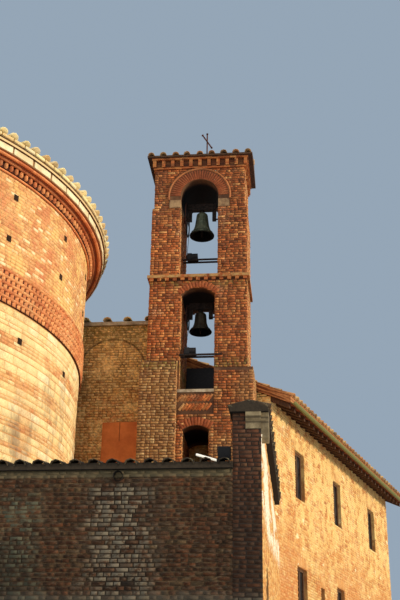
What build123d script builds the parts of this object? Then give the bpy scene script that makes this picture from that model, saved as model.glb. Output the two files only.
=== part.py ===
from build123d import *
import math
import os

# Chapel group: a thin brick bell tower with two bells, a round church hall at its left, a
# lean-to annex in front and a three-storey wing behind it at the right.
# Millimetres. The origin is on the ground under the middle of the tower's shaft, +X runs to
# the right along the tower's front, +Y runs away from the front and +Z is up.

# Gap left where something is seated on a curved face
seat_gap = 0.5
# How far a cutter runs past the faces that it cuts
overrun = 100

# Tower base: a proud left pier, a right pier and a bay with a low arched opening
base_half_width = 1270
base_back = 700
left_pier_front = -900
right_pier_front = -760
left_pier_inner = -440
left_pier_top = 9050
right_pier_top = 8870
low_open_half = 300
low_open_sill = 6450
low_open_spring = 7390
low_open_crown = 7490
middle_sill_top = 8330
middle_sill_thick = 70
ledge_fall = 90

# Tower shaft with the middle and upper bell openings, each height built on the one below
shaft_half_width = 1145
shaft_half_depth = 700
middle_open_half = 400
middle_jamb_height = 2370
middle_open_rise = 180
middle_arch_cover = 180
middle_open_spring = middle_sill_top + middle_jamb_height
middle_open_crown = middle_open_spring + middle_open_rise
string_bottom = middle_open_crown + middle_arch_cover
string_height = 150
string_top = string_bottom + string_height
string_out = 60
string_dentil = 90
string_dentil_gap = 90
upper_open_half = 460
upper_jamb_height = 1830
impost_height = 210
impost_bottom = string_top + upper_jamb_height
impost_top = impost_bottom + impost_height
impost_width = 270
impost_out = 25
head_half_width = 1100
arch_stilt = 110
arch_spring = impost_top + arch_stilt
arch_crown = arch_spring + upper_open_half
arch_ring = 310
arch_proud = 20
cornice_course = 30
cornice_fascia = 30
cornice_dentil_height = 190
cornice_dentil = 80
cornice_dentil_gap = 130
cornice_slab = 50
cornice_out = 90

# Tower roof and the iron cross on its ridge
roof_out_side = 200
roof_out_front = 140
roof_half_length = head_half_width + roof_out_side
roof_half_depth = shaft_half_depth + roof_out_front
roof_edge = 45
roof_pitch = 16
cross_x = 100
cross_height = 895
cross_bar = 26
cross_arm = 610
cross_arm_drop = 230
cross_end = 40
cross_foot = 100
cross_turn = 73

# Bells: mouth, height, how far the lip hangs below the axle, and the yoke
upper_bell_mouth = 604
upper_bell_hang = 470
upper_bell_height = 640
upper_axle_above_impost = 40
upper_axle_z = impost_bottom + upper_axle_above_impost
upper_wheel_radius = 430
lower_bell_mouth = 530
lower_bell_hang = 390
lower_bell_height = 500
lower_axle_below_spring = 280
lower_axle_z = middle_open_spring - lower_axle_below_spring
lower_wheel_radius = 305
upper_bell_lip = upper_axle_z - upper_bell_hang
lower_bell_lip = lower_axle_z - lower_bell_hang
bell_wall = 0.055
bell_waist = 0.28
upper_bell_shoulder = 0.235
lower_bell_shoulder = 0.255
headstock_depth = 130
headstock_height = 170
canon_height = 75
arm_width = 95
axle_radius = 18
axle_clearance = 0.4
axle_end_gap = 2
bearing_length = 50
bearing_size = 130
wheel_thick = 26
wheel_rim = 40
wheel_from_jamb = 78
clapper_radius = 12
clapper_ball = 38
clapper_flight = 60

# Bell drives: a motor on two bars across each opening, and its chain
bar_size = 36
bar_spacing = 150
upper_bar_above_sill = 740
lower_bar_above_sill = 870
upper_bar_z = string_top + upper_bar_above_sill
lower_bar_z = middle_sill_top + lower_bar_above_sill
lower_bar_reach = 160
motor_length = 270
motor_height = 180
motor_depth = 210
motor_foot = 12
motor_setback = 110
chain_width = 10
chain_thick = 9
chain_gap = 3
sprocket_radius = 45
guard_height = 1060
guard_thick = 30

# Round hall: its right edge is fixed, so that it meets the link wall at any radius
hall_right_edge = -2540
hall_y = -2100
hall_radius = 6200
hall_x = hall_right_edge - hall_radius
hall_wall = 900
hall_segments = 8
plinth_height = 700
plinth_out = 60
belt_bottom = 8600
belt_top = 9300
belt_out = 45
drum_out = 30
dentil_course_bottom = 11350
dentil_course_top = 11480
dentil_course_out = 100
moulding_top = 11510
moulding_out = 250
moulding_lift = 20
stone_band_top = 11680
stone_band_out = 380
hall_eave_radius = 6640
hall_roof_pitch = 20
hall_roof_thick = 200
hall_roof_edge = 50
hall_cap_radius = 450
hall_cap_height = 350
hall_door_width = 1300
hall_door_height = 2400
hall_door_thick = 70
hall_door_setback = 300
door_foot_gap = 10

# Link wall between the round hall and the tower, with a tiled coping and a blind board
link_front = 150
link_thick = 600
link_top = 10320
coping_thick = 90
coping_rise = 110
coping_out = 70
board_left = -2250
board_right = -1410
board_bottom = 6930
board_top = 7880
board_thick = 40

# Annex: front wall, taller side wall with a doorway, lean-to roof
annex_front = -7840
annex_wall = 420
front_wall_top = 4500
side_wall_outer = 1740
side_wall_top = 5350
side_wall_step = -2200
side_cap_out = 110
door_middle = -6250
door_half = 550
door_spring = 2850
lean_low = 4560
lean_high = 5230
lean_thick = 180
block_width = 230
block_drop = 250
block_out = 20
console_width = 110
console_height = 440
console_depth = 230

# Wing: its near corner, its turn and its storeys
wing_x = 1610
wing_y = 680
wing_turn = 71.4
wing_length = 10200
wing_width = 6000
wing_wall = 450
wing_wall_top = 8650
wing_pitch = 26
wing_roof_thick = 195
wing_eave_out = 520
wing_verge_out = 60
column_middles = (1965, 3490, 5000, 8340)
column_widths = (690, 300, 660, 690)
column_kinds = ("window", "narrow", "door", "window")
storey_rise = 2820
ground_sill = 960
window_height = 1220
narrow_height = 1000
sill_above_floor = 880
floor_thick = 200
frame_bar = 60
post_from_width = 450
frame_depth = 70
frame_setback = 80
pane_thick = 8
wing_door_height = 2250
rafter_width = 90
rafter_height = 110
rafter_pitch = 340
rafter_setback = 60
gutter_radius = 55
gutter_wall = 8

# Small lamp on the link wall and floodlight on the annex coping
lamp_size = 100
flood_width = 190
flood_height = 200
flood_depth = 130
flood_bar_length = 430
flood_bar = 36


def block(x0, x1, y0, y1, z0, z1):
    """A box between two corners."""
    return Pos((x0 + x1) / 2, (y0 + y1) / 2, (z0 + z1) / 2) * Box(x1 - x0, y1 - y0, z1 - z0)


def arch_cutter(half, sill, spring, crown, y0, y1, x=0):
    """The air of an arched opening: straight jambs below a round or segmental head."""
    rise = crown - spring
    radius = (half * half + rise * rise) / (2 * rise)
    with BuildPart() as cutter:
        with BuildSketch(Plane.XZ.offset(-y1)):
            with BuildLine():
                Line((x - half, spring), (x - half, sill))
                Line((x - half, sill), (x + half, sill))
                Line((x + half, sill), (x + half, spring))
                if rise < half:
                    RadiusArc((x + half, spring), (x - half, spring), -radius)
                else:
                    ThreePointArc((x + half, spring), (x, crown), (x - half, spring))
            make_face()
        extrude(amount=y1 - y0)
    return cutter.part


def profile_along_x(points, x0, x1):
    """A solid with the outline points (y, z), from x0 to x1."""
    face = Plane.YZ.offset(x0) * make_face(Polyline(*points, close=True).edges())
    return extrude(face, amount=x1 - x0)


def profile_along_y(points, y0, y1):
    """A solid with the outline points (x, z), from y0 to y1."""
    face = Plane.XZ.offset(-y1) * make_face(Polyline(*points, close=True).edges())
    return extrude(face, amount=y1 - y0)


def ring_segment(points, start, sweep):
    """The outline points (radius, z) turned about the upright axis of the round hall."""
    face = Plane.XZ * make_face(Polyline(*points, close=True).edges())
    turned = revolve(face, Axis.Z, sweep)
    return Pos(hall_x, hall_y, 0) * Rot(0, 0, start) * turned


def row_of_boxes(start, end, size, gap):
    """Middles of evenly spaced boxes between two ends."""
    span = end - start
    count = int((span + gap) // (size + gap))
    pitch = (span - size) / (count - 1)
    return [start + size / 2 + i * pitch for i in range(count)]


def one(solids):
    """Several solids as one sub-part."""
    return Compound(children=list(solids))


# Tower base

def tower_left_pier():
    """The proud left pier with a sloping top ledge."""
    points = [(left_pier_front, 0), (base_back, 0), (base_back, left_pier_top),
              (-shaft_half_depth, left_pier_top), (left_pier_front, left_pier_top - ledge_fall)]
    return profile_along_x(points, -base_half_width, left_pier_inner)


def tower_right_pier():
    """The right pier, flush with the bay, with a sloping top ledge."""
    points = [(right_pier_front, 0), (base_back, 0), (base_back, right_pier_top),
              (-shaft_half_depth, right_pier_top), (right_pier_front, right_pier_top - ledge_fall)]
    return profile_along_x(points, middle_open_half, base_half_width)


def tower_bay_foot():
    """Brickwork between the base piers, below the low opening."""
    return block(left_pier_inner, middle_open_half, right_pier_front, base_back, 0, low_open_sill)


def tower_bay_arch():
    """Brickwork round the low opening, up to the middle sill."""
    head = block(left_pier_inner, middle_open_half, right_pier_front, base_back,
                 low_open_sill, middle_sill_top - middle_sill_thick)
    air = arch_cutter(low_open_half, low_open_sill - overrun, low_open_spring, low_open_crown,
                      right_pier_front - overrun, base_back + overrun)
    return head - air


def middle_sill():
    """The pale sill slab of the middle opening."""
    return block(left_pier_inner, middle_open_half, right_pier_front - impost_out, base_back,
                 middle_sill_top - middle_sill_thick, middle_sill_top)


# Tower shaft

def belfry_piers_lower():
    """Two piers beside the middle opening."""
    jamb = block(left_pier_inner, -middle_open_half, -shaft_half_depth, shaft_half_depth,
                 middle_sill_top, string_bottom)
    left_top = block(-shaft_half_width, left_pier_inner, -shaft_half_depth, shaft_half_depth,
                     left_pier_top, string_bottom)
    right = block(middle_open_half, shaft_half_width, -shaft_half_depth, shaft_half_depth,
                  right_pier_top, string_bottom)
    return one([jamb + left_top, right])


def middle_arch():
    """The segmental head of the middle opening."""
    head = block(-middle_open_half, middle_open_half, -shaft_half_depth, shaft_half_depth,
                 middle_open_spring, string_bottom)
    air = arch_cutter(middle_open_half, middle_open_spring - overrun, middle_open_spring,
                      middle_open_crown, -shaft_half_depth - overrun, shaft_half_depth + overrun)
    return head - air


def string_course():
    """The sill course right through the tower, with a row of dentils below its edge."""
    middle = (string_bottom + string_top) / 2
    core = block(-shaft_half_width, shaft_half_width, -shaft_half_depth, shaft_half_depth,
                 string_bottom, middle)
    slab = block(-shaft_half_width - string_out, shaft_half_width + string_out,
                 -shaft_half_depth - string_out, shaft_half_depth + string_out, middle, string_top)
    body = core + slab
    for x in row_of_boxes(-shaft_half_width, shaft_half_width, string_dentil, string_dentil_gap):
        tooth = Box(string_dentil, 2 * (shaft_half_depth + string_out * 0.8), middle - string_bottom)
        body += Pos(x, 0, (middle + string_bottom) / 2) * tooth
    return body


def belfry_piers_upper():
    """Two piers beside the upper opening."""
    piers = []
    for side in (-1, 1):
        inner = side * upper_open_half
        outer = side * shaft_half_width
        piers.append(block(min(inner, outer), max(inner, outer), -shaft_half_depth,
                           shaft_half_depth, string_top, impost_bottom))
    return one(piers)


def imposts():
    """White stone blocks that carry the upper arch."""
    stones = []
    for side in (-1, 1):
        inner = side * upper_open_half
        outer = side * (upper_open_half + impost_width)
        reach = shaft_half_depth + impost_out
        stones.append(block(min(inner, outer), max(inner, outer), -reach, reach,
                            impost_bottom, impost_top))
    return one(stones)


def upper_arch(side):
    """Half of the tower's head, with its half of the proud ring round the arch."""
    spring = arch_spring
    ring_top = arch_crown + arch_ring
    inner = 0
    outer = side * head_half_width
    wall = block(min(inner, outer), max(inner, outer), -shaft_half_depth, shaft_half_depth,
                 impost_bottom, ring_top)
    reach = shaft_half_depth + arch_proud
    ring = Pos(0, 0, spring) * Rot(90, 0, 0) * Cylinder(upper_open_half + arch_ring, 2 * reach)
    ring += block(-upper_open_half - arch_ring, upper_open_half + arch_ring, -reach, reach,
                  impost_top, spring)
    keep = block(min(inner, outer), max(inner, outer), -reach, reach, impost_top, ring_top)
    wall += ring & keep
    wall -= arch_cutter(upper_open_half, impost_bottom - overrun, spring, arch_crown,
                        -reach - overrun, reach + overrun)
    notch_end = side * (upper_open_half + impost_width)
    wall -= block(min(inner, notch_end), max(inner, notch_end), -reach - overrun, reach + overrun,
                  impost_bottom - overrun, impost_top)
    return wall


def cornice():
    """The crowning cornice: a thin course, a fascia, a row of dentils and a slab."""
    z0 = arch_crown + arch_ring
    z1 = z0 + cornice_course
    z2 = z1 + cornice_fascia
    z3 = z2 + cornice_dentil_height
    z4 = z3 + cornice_slab

    def layer(out, low, high):
        return block(-head_half_width - out, head_half_width + out, -shaft_half_depth - out,
                     shaft_half_depth + out, low, high)

    body = layer(cornice_out / 2, z0, z1) + layer(cornice_out / 4, z1, z3)
    body += layer(cornice_out, z3, z4)
    tooth_out = cornice_out * 0.75
    half_x = head_half_width + tooth_out
    half_y = shaft_half_depth + tooth_out
    height = z3 - z2
    across = row_of_boxes(-half_x, half_x, cornice_dentil, cornice_dentil_gap)
    back = row_of_boxes(-half_y, half_y, cornice_dentil, cornice_dentil_gap)
    for x in across[1:-1]:
        body += Pos(x, 0, z2 + height / 2) * Box(cornice_dentil, 2 * half_y, height)
    for y in back[1:-1]:
        body += Pos(0, y, z2 + height / 2) * Box(2 * half_x, cornice_dentil, height)
    for x in (across[0], across[-1]):
        for y in (back[0], back[-1]):
            body += Pos(x, y, z2 + height / 2) * Box(cornice_dentil, cornice_dentil, height)
    return body


cornice_height = cornice_course + cornice_fascia + cornice_dentil_height + cornice_slab
cornice_top = arch_crown + arch_ring + cornice_height
ridge_z = cornice_top + roof_edge + roof_half_depth * math.tan(math.radians(roof_pitch))


def tower_roof():
    """The low tiled roof with its ridge along X."""
    edge = cornice_top + roof_edge
    points = [(-roof_half_depth, cornice_top), (roof_half_depth, cornice_top),
              (roof_half_depth, edge), (0, ridge_z), (-roof_half_depth, edge)]
    return profile_along_x(points, -roof_half_length, roof_half_length)


def cross():
    """The forged cross, turned nearly along the tower's depth, with its foot in the ridge."""
    arm_z = cross_height - cross_arm_drop
    stem = Pos(0, 0, cross_height / 2) * Box(cross_bar, cross_bar, cross_height)
    arm = Pos(0, 0, arm_z) * Box(cross_arm, cross_bar, cross_bar)
    body = stem + arm
    for x, z in ((-cross_arm / 2, arm_z), (cross_arm / 2, arm_z), (0, cross_height)):
        body += Pos(x, 0, z) * Rot(0, 45, 0) * Box(cross_end, cross_end, cross_end)
    body = Pos(cross_x, 0, ridge_z) * Rot(0, 0, cross_turn) * body
    foot = Pos(cross_x, 0, ridge_z) * Rot(0, 0, cross_turn) * Box(cross_foot, cross_foot, cross_bar * 2)
    return body + foot - tower_roof()


# Bells and what carries them

def bell(mouth, height, lip, shoulder_share):
    """A cast bell: a flared shell with a thick sound bow, closed at the crown and open below."""
    wall = bell_wall * mouth
    bow = 1.3 * wall
    waist = bell_waist * mouth
    shoulder = shoulder_share * mouth
    crown = lip + height
    waist_z = lip + 0.52 * height
    shoulder_z = lip + 0.86 * height
    roof_z = crown - 0.10 * height
    with BuildPart() as shell:
        with BuildSketch(Plane.XZ):
            with BuildLine():
                Line((mouth / 2, lip), (mouth * 0.49, lip + 0.05 * height))
                ThreePointArc((mouth * 0.49, lip + 0.05 * height), (mouth * 0.365, lip + 0.24 * height),
                              (waist, waist_z))
                Line((waist, waist_z), (shoulder, shoulder_z))
                ThreePointArc((shoulder, shoulder_z), (shoulder * 0.86, crown - 0.045 * height),
                              (shoulder * 0.5, crown))
                Line((shoulder * 0.5, crown), (0, crown))
                Line((0, crown), (0, roof_z))
                Line((0, roof_z), (shoulder * 0.6, roof_z))
                Line((shoulder * 0.6, roof_z), (shoulder - wall, shoulder_z - 0.04 * height))
                Line((shoulder - wall, shoulder_z - 0.04 * height), (waist - wall, waist_z))
                ThreePointArc((waist - wall, waist_z), (mouth * 0.365 - bow, lip + 0.22 * height),
                              (mouth / 2 - bow, lip))
                Line((mouth / 2 - bow, lip), (mouth / 2, lip))
            make_face()
        revolve(axis=Axis.Z)
    return shell.part


def headstock(half, axle_z, bell_top):
    """The yoke: a beam over the bell, two arms down to the axle ends, and the canons."""
    beam_low = bell_top + canon_height
    beam_high = beam_low + headstock_height
    arm_out = half - wheel_from_jamb - wheel_thick - 2 * chain_gap
    arm_in = arm_out - arm_width
    body = block(-arm_out, arm_out, -headstock_depth / 2, headstock_depth / 2, beam_low, beam_high)
    for side in (-1, 1):
        x0 = min(side * arm_in, side * arm_out)
        x1 = max(side * arm_in, side * arm_out)
        body += block(x0, x1, -headstock_depth / 3, headstock_depth / 3,
                      axle_z - 2.2 * axle_radius, beam_low)
        reach = half - axle_end_gap
        axle = Pos(side * (arm_in + reach) / 2, 0, axle_z) * Rot(0, 90, 0)
        body += axle * Cylinder(axle_radius, reach - arm_in)
    for angle in (0, 90):
        body += Pos(0, 0, bell_top + canon_height / 2) * Rot(0, 0, angle) * Box(
            headstock_depth * 0.9, canon_height * 0.35, canon_height)
    return body


def wheel(half, axle_z, radius):
    """The bell's driving wheel on the left axle end, with a rim, a hub and four spokes."""
    x = -half + wheel_from_jamb
    disc = Cylinder(radius, wheel_thick) - Cylinder(radius - wheel_rim, wheel_thick)
    disc += Cylinder(axle_radius * 3, wheel_thick)
    for angle in (0, 90):
        disc += Rot(0, 0, angle) * Box(2 * radius - wheel_rim, wheel_rim * 0.8, wheel_thick * 0.6)
    disc -= Cylinder(axle_radius, wheel_thick * 2)
    return Pos(x + wheel_thick / 2, 0, axle_z) * Rot(0, 90, 0) * disc


def clapper(mouth, height, lip):
    """The clapper under the bell's crown, turned with a bulb level with the sound bow."""
    top = lip + 0.90 * height
    ball_z = lip + 0.12 * height
    flight_z = ball_z - clapper_ball - clapper_flight
    outline = [(0, top), (clapper_radius, top), (clapper_radius, ball_z + clapper_ball),
               (clapper_ball, ball_z + clapper_ball * 0.4), (clapper_ball, ball_z - clapper_ball * 0.4),
               (clapper_radius, ball_z - clapper_ball), (clapper_radius, flight_z), (0, flight_z)]
    return revolve(Plane.XZ * make_face(Polyline(*outline, close=True).edges()), Axis.Z)


def bearing(side, half, axle_z):
    """A bearing block on a jamb, bored for the axle."""
    outer = side * half
    inner = side * (half - bearing_length)
    body = block(min(inner, outer), max(inner, outer), -bearing_size / 2, bearing_size / 2,
                 axle_z - bearing_size / 2, axle_z + bearing_size / 2)
    bore = Cylinder(axle_radius + axle_clearance, 4 * bearing_length)
    return body - Pos(side * half, 0, axle_z) * Rot(0, 90, 0) * bore


def bearings():
    """A pair of bearing blocks for each bell."""
    pairs = ((upper_open_half, upper_axle_z), (middle_open_half, lower_axle_z))
    return one([bearing(side, half, z) for half, z in pairs for side in (-1, 1)])


lower_motor_y = -shaft_half_depth - bar_size / 2 + bar_spacing / 2


def drive_bars():
    """Two bars across each opening; the lower front bar laps the face of the right pier."""
    bars = []
    for y in (-bar_spacing / 2, bar_spacing / 2):
        bars.append(block(-upper_open_half, upper_open_half, y - bar_size / 2, y + bar_size / 2,
                          upper_bar_z - bar_size, upper_bar_z))
    front = -shaft_half_depth - bar_size
    bars.append(block(-middle_open_half, middle_open_half + lower_bar_reach, front, front + bar_size,
                      lower_bar_z - bar_size, lower_bar_z))
    rear = front + bar_spacing
    bars.append(block(-middle_open_half, middle_open_half, rear, rear + bar_size,
                      lower_bar_z - bar_size, lower_bar_z))
    return one(bars)


def motor(half, y, z):
    """A drive motor: a round body beside a gear case, on a foot plate, with its sprocket."""
    x0 = -half + motor_setback
    top = z + motor_foot
    plate = block(x0, x0 + motor_length, y - motor_depth / 2, y + motor_depth / 2, z, top)
    case_end = x0 + motor_length * 0.42
    case = block(x0, case_end, y - motor_depth * 0.38, y + motor_depth * 0.38, top, z + motor_height * 0.92)
    radius = (motor_height - motor_foot) / 2
    length = motor_length * 0.52
    drum = Pos(case_end + length / 2, y, top + radius) * Rot(0, 90, 0) * Cylinder(radius, length)
    saddle = block(case_end, case_end + length * 0.9, y - radius * 0.6, y + radius * 0.6,
                   top, top + radius * 0.4)
    body = plate + case + drum + saddle
    shaft_x = -half + wheel_from_jamb
    shaft_z = z + motor_height / 2
    shaft = Cylinder(axle_radius * 0.7, x0 - shaft_x)
    sprocket = Cylinder(sprocket_radius - seat_gap, chain_width)
    body += Pos((shaft_x + x0) / 2, y, shaft_z) * Rot(0, 90, 0) * shaft
    return body + Pos(shaft_x + wheel_thick / 2, y, shaft_z) * Rot(0, 90, 0) * sprocket


def motors():
    """The upper and the lower drive motor."""
    return one([motor(upper_open_half, 0, upper_bar_z),
                motor(middle_open_half, lower_motor_y, lower_bar_z)])


def chain(half, axle_z, radius, motor_y, motor_z):
    """One chain loop round a bell wheel and its motor's sprocket."""
    big = radius + chain_gap
    small = sprocket_radius
    drive_y = motor_y
    drive_z = motor_z + motor_height / 2
    top = Pos(0, axle_z) * Circle(big)
    low = Pos(drive_y, drive_z) * Circle(small)
    inner = make_hull((top.edges() + low.edges()))
    top_out = Pos(0, axle_z) * Circle(big + chain_thick)
    low_out = Pos(drive_y, drive_z) * Circle(small + chain_thick)
    outer = make_hull((top_out.edges() + low_out.edges()))
    x = -half + wheel_from_jamb + wheel_thick / 2 - chain_width / 2
    return extrude(Plane.YZ.offset(x) * (outer - inner), amount=chain_width)


def drive_chains():
    """Both chain loops."""
    return one([chain(upper_open_half, upper_axle_z, upper_wheel_radius, 0, upper_bar_z),
                chain(middle_open_half, lower_axle_z, lower_wheel_radius, lower_motor_y, lower_bar_z)])


def opening_guard():
    """The dark board across the back of the middle opening."""
    return block(-middle_open_half, middle_open_half, shaft_half_depth - guard_thick,
                 shaft_half_depth, middle_sill_top, middle_sill_top + guard_height)


# Round hall

def hall_roof_under(radius):
    """Height of the roof's underside at a radius."""
    return stone_band_top + (hall_eave_radius - radius) * math.tan(math.radians(hall_roof_pitch))


def hall_wall_points():
    """The wall's section (radius, z) with plinth, belt and cornice."""
    r = hall_radius
    top_out = r + stone_band_out
    inner = r - hall_wall
    return [(inner, 0), (r + plinth_out, 0), (r + plinth_out, plinth_height),
            (r, plinth_height + plinth_out), (r, belt_bottom), (r + belt_out, belt_bottom),
            (r + belt_out, belt_top), (r + drum_out, belt_top + drum_out),
            (r + drum_out, dentil_course_bottom),
            (r + dentil_course_out, dentil_course_bottom),
            (r + dentil_course_out, dentil_course_top),
            (r + moulding_out, moulding_top), (r + stone_band_out, moulding_top + moulding_lift),
            (top_out, hall_roof_under(top_out)), (inner, hall_roof_under(inner))]


def hall_air():
    """The hall's outer form, grown by the seating gap: what stands against it is cut by it."""
    outer = [(r + seat_gap, z) for r, z in hall_wall_points()[1:-1]]
    return ring_segment([(0, 0)] + outer + [(0, outer[-1][1])], 0, 360)


hall_form = hall_air()


def hall_walls(first):
    """Two opposite segments of the round wall; segment 4 has the doorway."""
    sweep = 360 / hall_segments
    half = hall_segments // 2
    pieces = []
    for index in (first, first + half):
        piece = ring_segment(hall_wall_points(), index * sweep - sweep / 2, sweep)
        if index == half:
            piece -= hall_doorway(hall_door_width)
        pieces.append(piece)
    return one(pieces)


def hall_doorway(width):
    """The air of the doorway on the side away from the tower."""
    middle = hall_x - hall_radius + hall_wall / 2
    return block(middle - hall_wall, middle + hall_wall, hall_y - width / 2, hall_y + width / 2,
                 -plinth_height, hall_door_height)


def hall_door():
    """A plain boarded double leaf that closes the doorway, set back from the face."""
    x = hall_x - hall_radius + hall_door_setback
    leaf = hall_door_width / 2 - seat_gap
    leaves = []
    for side in (-1, 1):
        y0 = hall_y + min(side * seat_gap, side * leaf)
        y1 = hall_y + max(side * seat_gap, side * leaf)
        leaves.append(block(x, x + hall_door_thick, y0, y1, door_foot_gap, hall_door_height - seat_gap))
    return one(leaves)


def hall_roof(first):
    """Two opposite quarters of the low cone of the hall's roof."""
    rise = math.tan(math.radians(hall_roof_pitch))
    under = [(hall_cap_radius * 0.8, hall_roof_under(hall_cap_radius * 0.8)),
             (hall_eave_radius, hall_roof_under(hall_eave_radius))]
    points = [(r, z + seat_gap) for r, z in under]
    points += [(hall_eave_radius, hall_roof_under(hall_eave_radius) + hall_roof_edge),
               (hall_eave_radius - hall_roof_thick, hall_roof_under(hall_eave_radius) + hall_roof_thick
                + hall_roof_thick * rise),
               (hall_cap_radius * 0.8, hall_roof_under(hall_cap_radius * 0.8) + hall_roof_thick)]
    return one([ring_segment(points, start, 90) for start in (first * 90, first * 90 + 180)])


def hall_cap():
    """The round cap that closes the top of the hall's roof."""
    edge = hall_roof_under(hall_cap_radius) + hall_roof_thick
    inner = hall_roof_under(hall_cap_radius * 0.8) + hall_roof_thick + seat_gap
    apex = hall_roof_under(0) + hall_roof_thick
    points = [(0, inner), (hall_cap_radius * 0.8, inner), (hall_cap_radius, edge + seat_gap),
              (hall_cap_radius, edge + 60), (0, apex + hall_cap_height * 0.5)]
    return ring_segment(points, 0, 360)


# Link wall

def link_wall():
    """The wall between the round hall and the tower."""
    low = block(hall_x, -base_half_width, link_front, link_front + link_thick, 0, left_pier_top)
    high = block(hall_x, -shaft_half_width, link_front, link_front + link_thick, left_pier_top, link_top)
    return low + high - hall_form


def link_coping():
    """The tiled coping of the link wall, sloping to both sides."""
    middle = link_front + link_thick / 2
    points = [(link_front - coping_out, link_top), (link_front + link_thick + coping_out, link_top),
              (link_front + link_thick + coping_out, link_top + coping_thick),
              (middle, link_top + coping_thick + coping_rise),
              (link_front - coping_out, link_top + coping_thick)]
    return profile_along_x(points, hall_x, -shaft_half_width) - hall_form


def shutter_board():
    """The flat board on the link wall."""
    return block(board_left, board_right, link_front - board_thick, link_front, board_bottom, board_top)


def wall_lamp():
    """A small lamp on a bracket beside the tower's edge, on the link wall's coping."""
    x = -shaft_half_width - lamp_size
    y = link_front - coping_out
    base = link_top + coping_thick
    post = block(x - 12, x + 12, y + 20, y + 44, base - 60, base + 60)
    post -= link_coping()
    head = Pos(x, y + 32, base + 60 + lamp_size / 2) * Cylinder(lamp_size * 0.45, lamp_size)
    return post + head


# Annex

def front_wall():
    """The front wall, from the round hall to the side wall."""
    wall = block(hall_x, side_wall_outer - annex_wall, annex_front, annex_front + annex_wall,
                 0, front_wall_top)
    return wall - hall_form


def front_coping():
    """The tiled coping of the front wall."""
    y0 = annex_front - coping_out
    y1 = annex_front + annex_wall
    points = [(y0, front_wall_top), (y1, front_wall_top), (y1, lean_low + coping_rise),
              (y0, front_wall_top + coping_thick)]
    coping = profile_along_x(points, hall_x, side_wall_outer - annex_wall)
    return coping - hall_form


wing_place = Pos(wing_x, wing_y, 0) * Rot(0, 0, wing_turn)


def side_wall():
    """The side wall with its arched doorway, ending against the wing."""
    x0 = side_wall_outer - annex_wall
    x1 = side_wall_outer
    wall = block(x0, x1, annex_front, wing_y + annex_wall, 0, side_wall_top)
    wing_air = wing_place * block(0, wing_length, -wing_width, wing_width, -wing_wall, wing_wall_top)
    wall -= wing_air
    crown = door_spring + door_half
    air = arch_cutter(door_half, -overrun, door_spring, crown, 0, annex_wall + 2 * overrun)
    return wall - Pos(side_wall_outer + overrun, door_middle, 0) * Rot(0, 0, 90) * air


def side_coping():
    """The gabled tile cap of the side wall, with a moulded underside on the outer face."""
    x0 = side_wall_outer - annex_wall - coping_out * 0.6
    x1 = side_wall_outer + side_cap_out
    middle = (side_wall_outer - annex_wall / 2)
    z = side_wall_top
    points = [(x0, z), (x1, z), (x1, z + coping_thick * 0.7),
              (middle, z + coping_thick * 0.7 + coping_rise), (x0, z + coping_thick * 0.7)]
    return profile_along_y(points, annex_front - coping_out, side_wall_step)


def pier_stones():
    """The moulded stone block on the pier's front and the console at its outer corner."""
    z1 = side_wall_top
    z0 = z1 - block_drop
    y1 = annex_front
    outline = [(y1, z1), (y1 - block_out * 3, z1), (y1 - block_out * 3, z1 - block_drop * 0.25),
               (y1 - block_out, z1 - block_drop * 0.5), (y1 - block_out, z0), (y1, z0)]
    stone = profile_along_x(outline, side_wall_outer - block_width, side_wall_outer)
    console_x0 = side_wall_outer
    console_x1 = side_wall_outer + console_width
    mid_y = annex_front + console_depth / 2
    with BuildPart() as bracket:
        with BuildSketch(Plane.YZ.offset(console_x0)):
            with BuildLine():
                half = console_depth / 2
                foot = z1 - console_height
                Line((mid_y - half, z1), (mid_y + half, z1))
                Line((mid_y + half, z1), (mid_y + half, foot + half))
                ThreePointArc((mid_y + half, foot + half), (mid_y, foot), (mid_y - half, foot + half))
                Line((mid_y - half, foot + half), (mid_y - half, z1))
            make_face()
        extrude(amount=console_x1 - console_x0)
    return stone + bracket.part


def lean_to_roof():
    """The single slope from the tower and link wall down to the front wall."""
    y0 = annex_front + annex_wall
    y1 = link_front
    tower_y = left_pier_front
    slope = (lean_high - lean_low) / (tower_y - y0)
    z_back = lean_low + slope * (y1 - y0)
    points = [(y0, lean_low - lean_thick), (y1, z_back - lean_thick), (y1, z_back), (y0, lean_low)]
    slab = profile_along_x(points, hall_x, side_wall_outer - annex_wall)
    tower_air = block(-base_half_width, side_wall_outer, left_pier_front, link_front + link_thick,
                      0, left_pier_top)
    return slab - hall_form - tower_air


def floodlight():
    """A floodlight box and a pale tube on the front wall's coping, beside the pier."""
    x1 = side_wall_outer - annex_wall - 40
    y0 = annex_front + annex_wall * 0.35
    slope = (lean_low + coping_rise - front_wall_top - coping_thick) / (annex_wall + coping_out)
    seat = front_wall_top + coping_thick + slope * (y0 - annex_front + coping_out)
    head = Pos(x1 - flood_width / 2, y0, seat + flood_height * 0.75) * Rot(20, 0, 0)
    body = head * Box(flood_width, flood_depth, flood_height)
    foot = block(x1 - flood_width / 2 - 15, x1 - flood_width / 2 + 15, y0 - 15, y0 + 15,
                 seat - 60, seat + flood_height / 2)
    body += foot
    tube = Pos(x1 - flood_width / 2 - flood_bar_length / 2, y0, seat + 75) * Rot(0, 17, 0)
    body += tube * Rot(0, 90, 0) * Cylinder(flood_bar / 2, flood_bar_length)
    return body - front_coping()


# Wing, drawn along its own long wall and then turned into place

def storey_sills(index):
    """Sill and head of a column's windows, one pair a storey."""
    sills = [ground_sill + storey_rise * storey for storey in range(3)]
    if column_kinds[index] == "narrow":
        return [(sills[1], sills[1] + narrow_height)]
    return [(sill, sill + window_height) for sill in sills]


def column_edges():
    """Left and right edge of each window column along the wall."""
    return [(m - w / 2, m + w / 2) for m, w in zip(column_middles, column_widths)]


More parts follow.
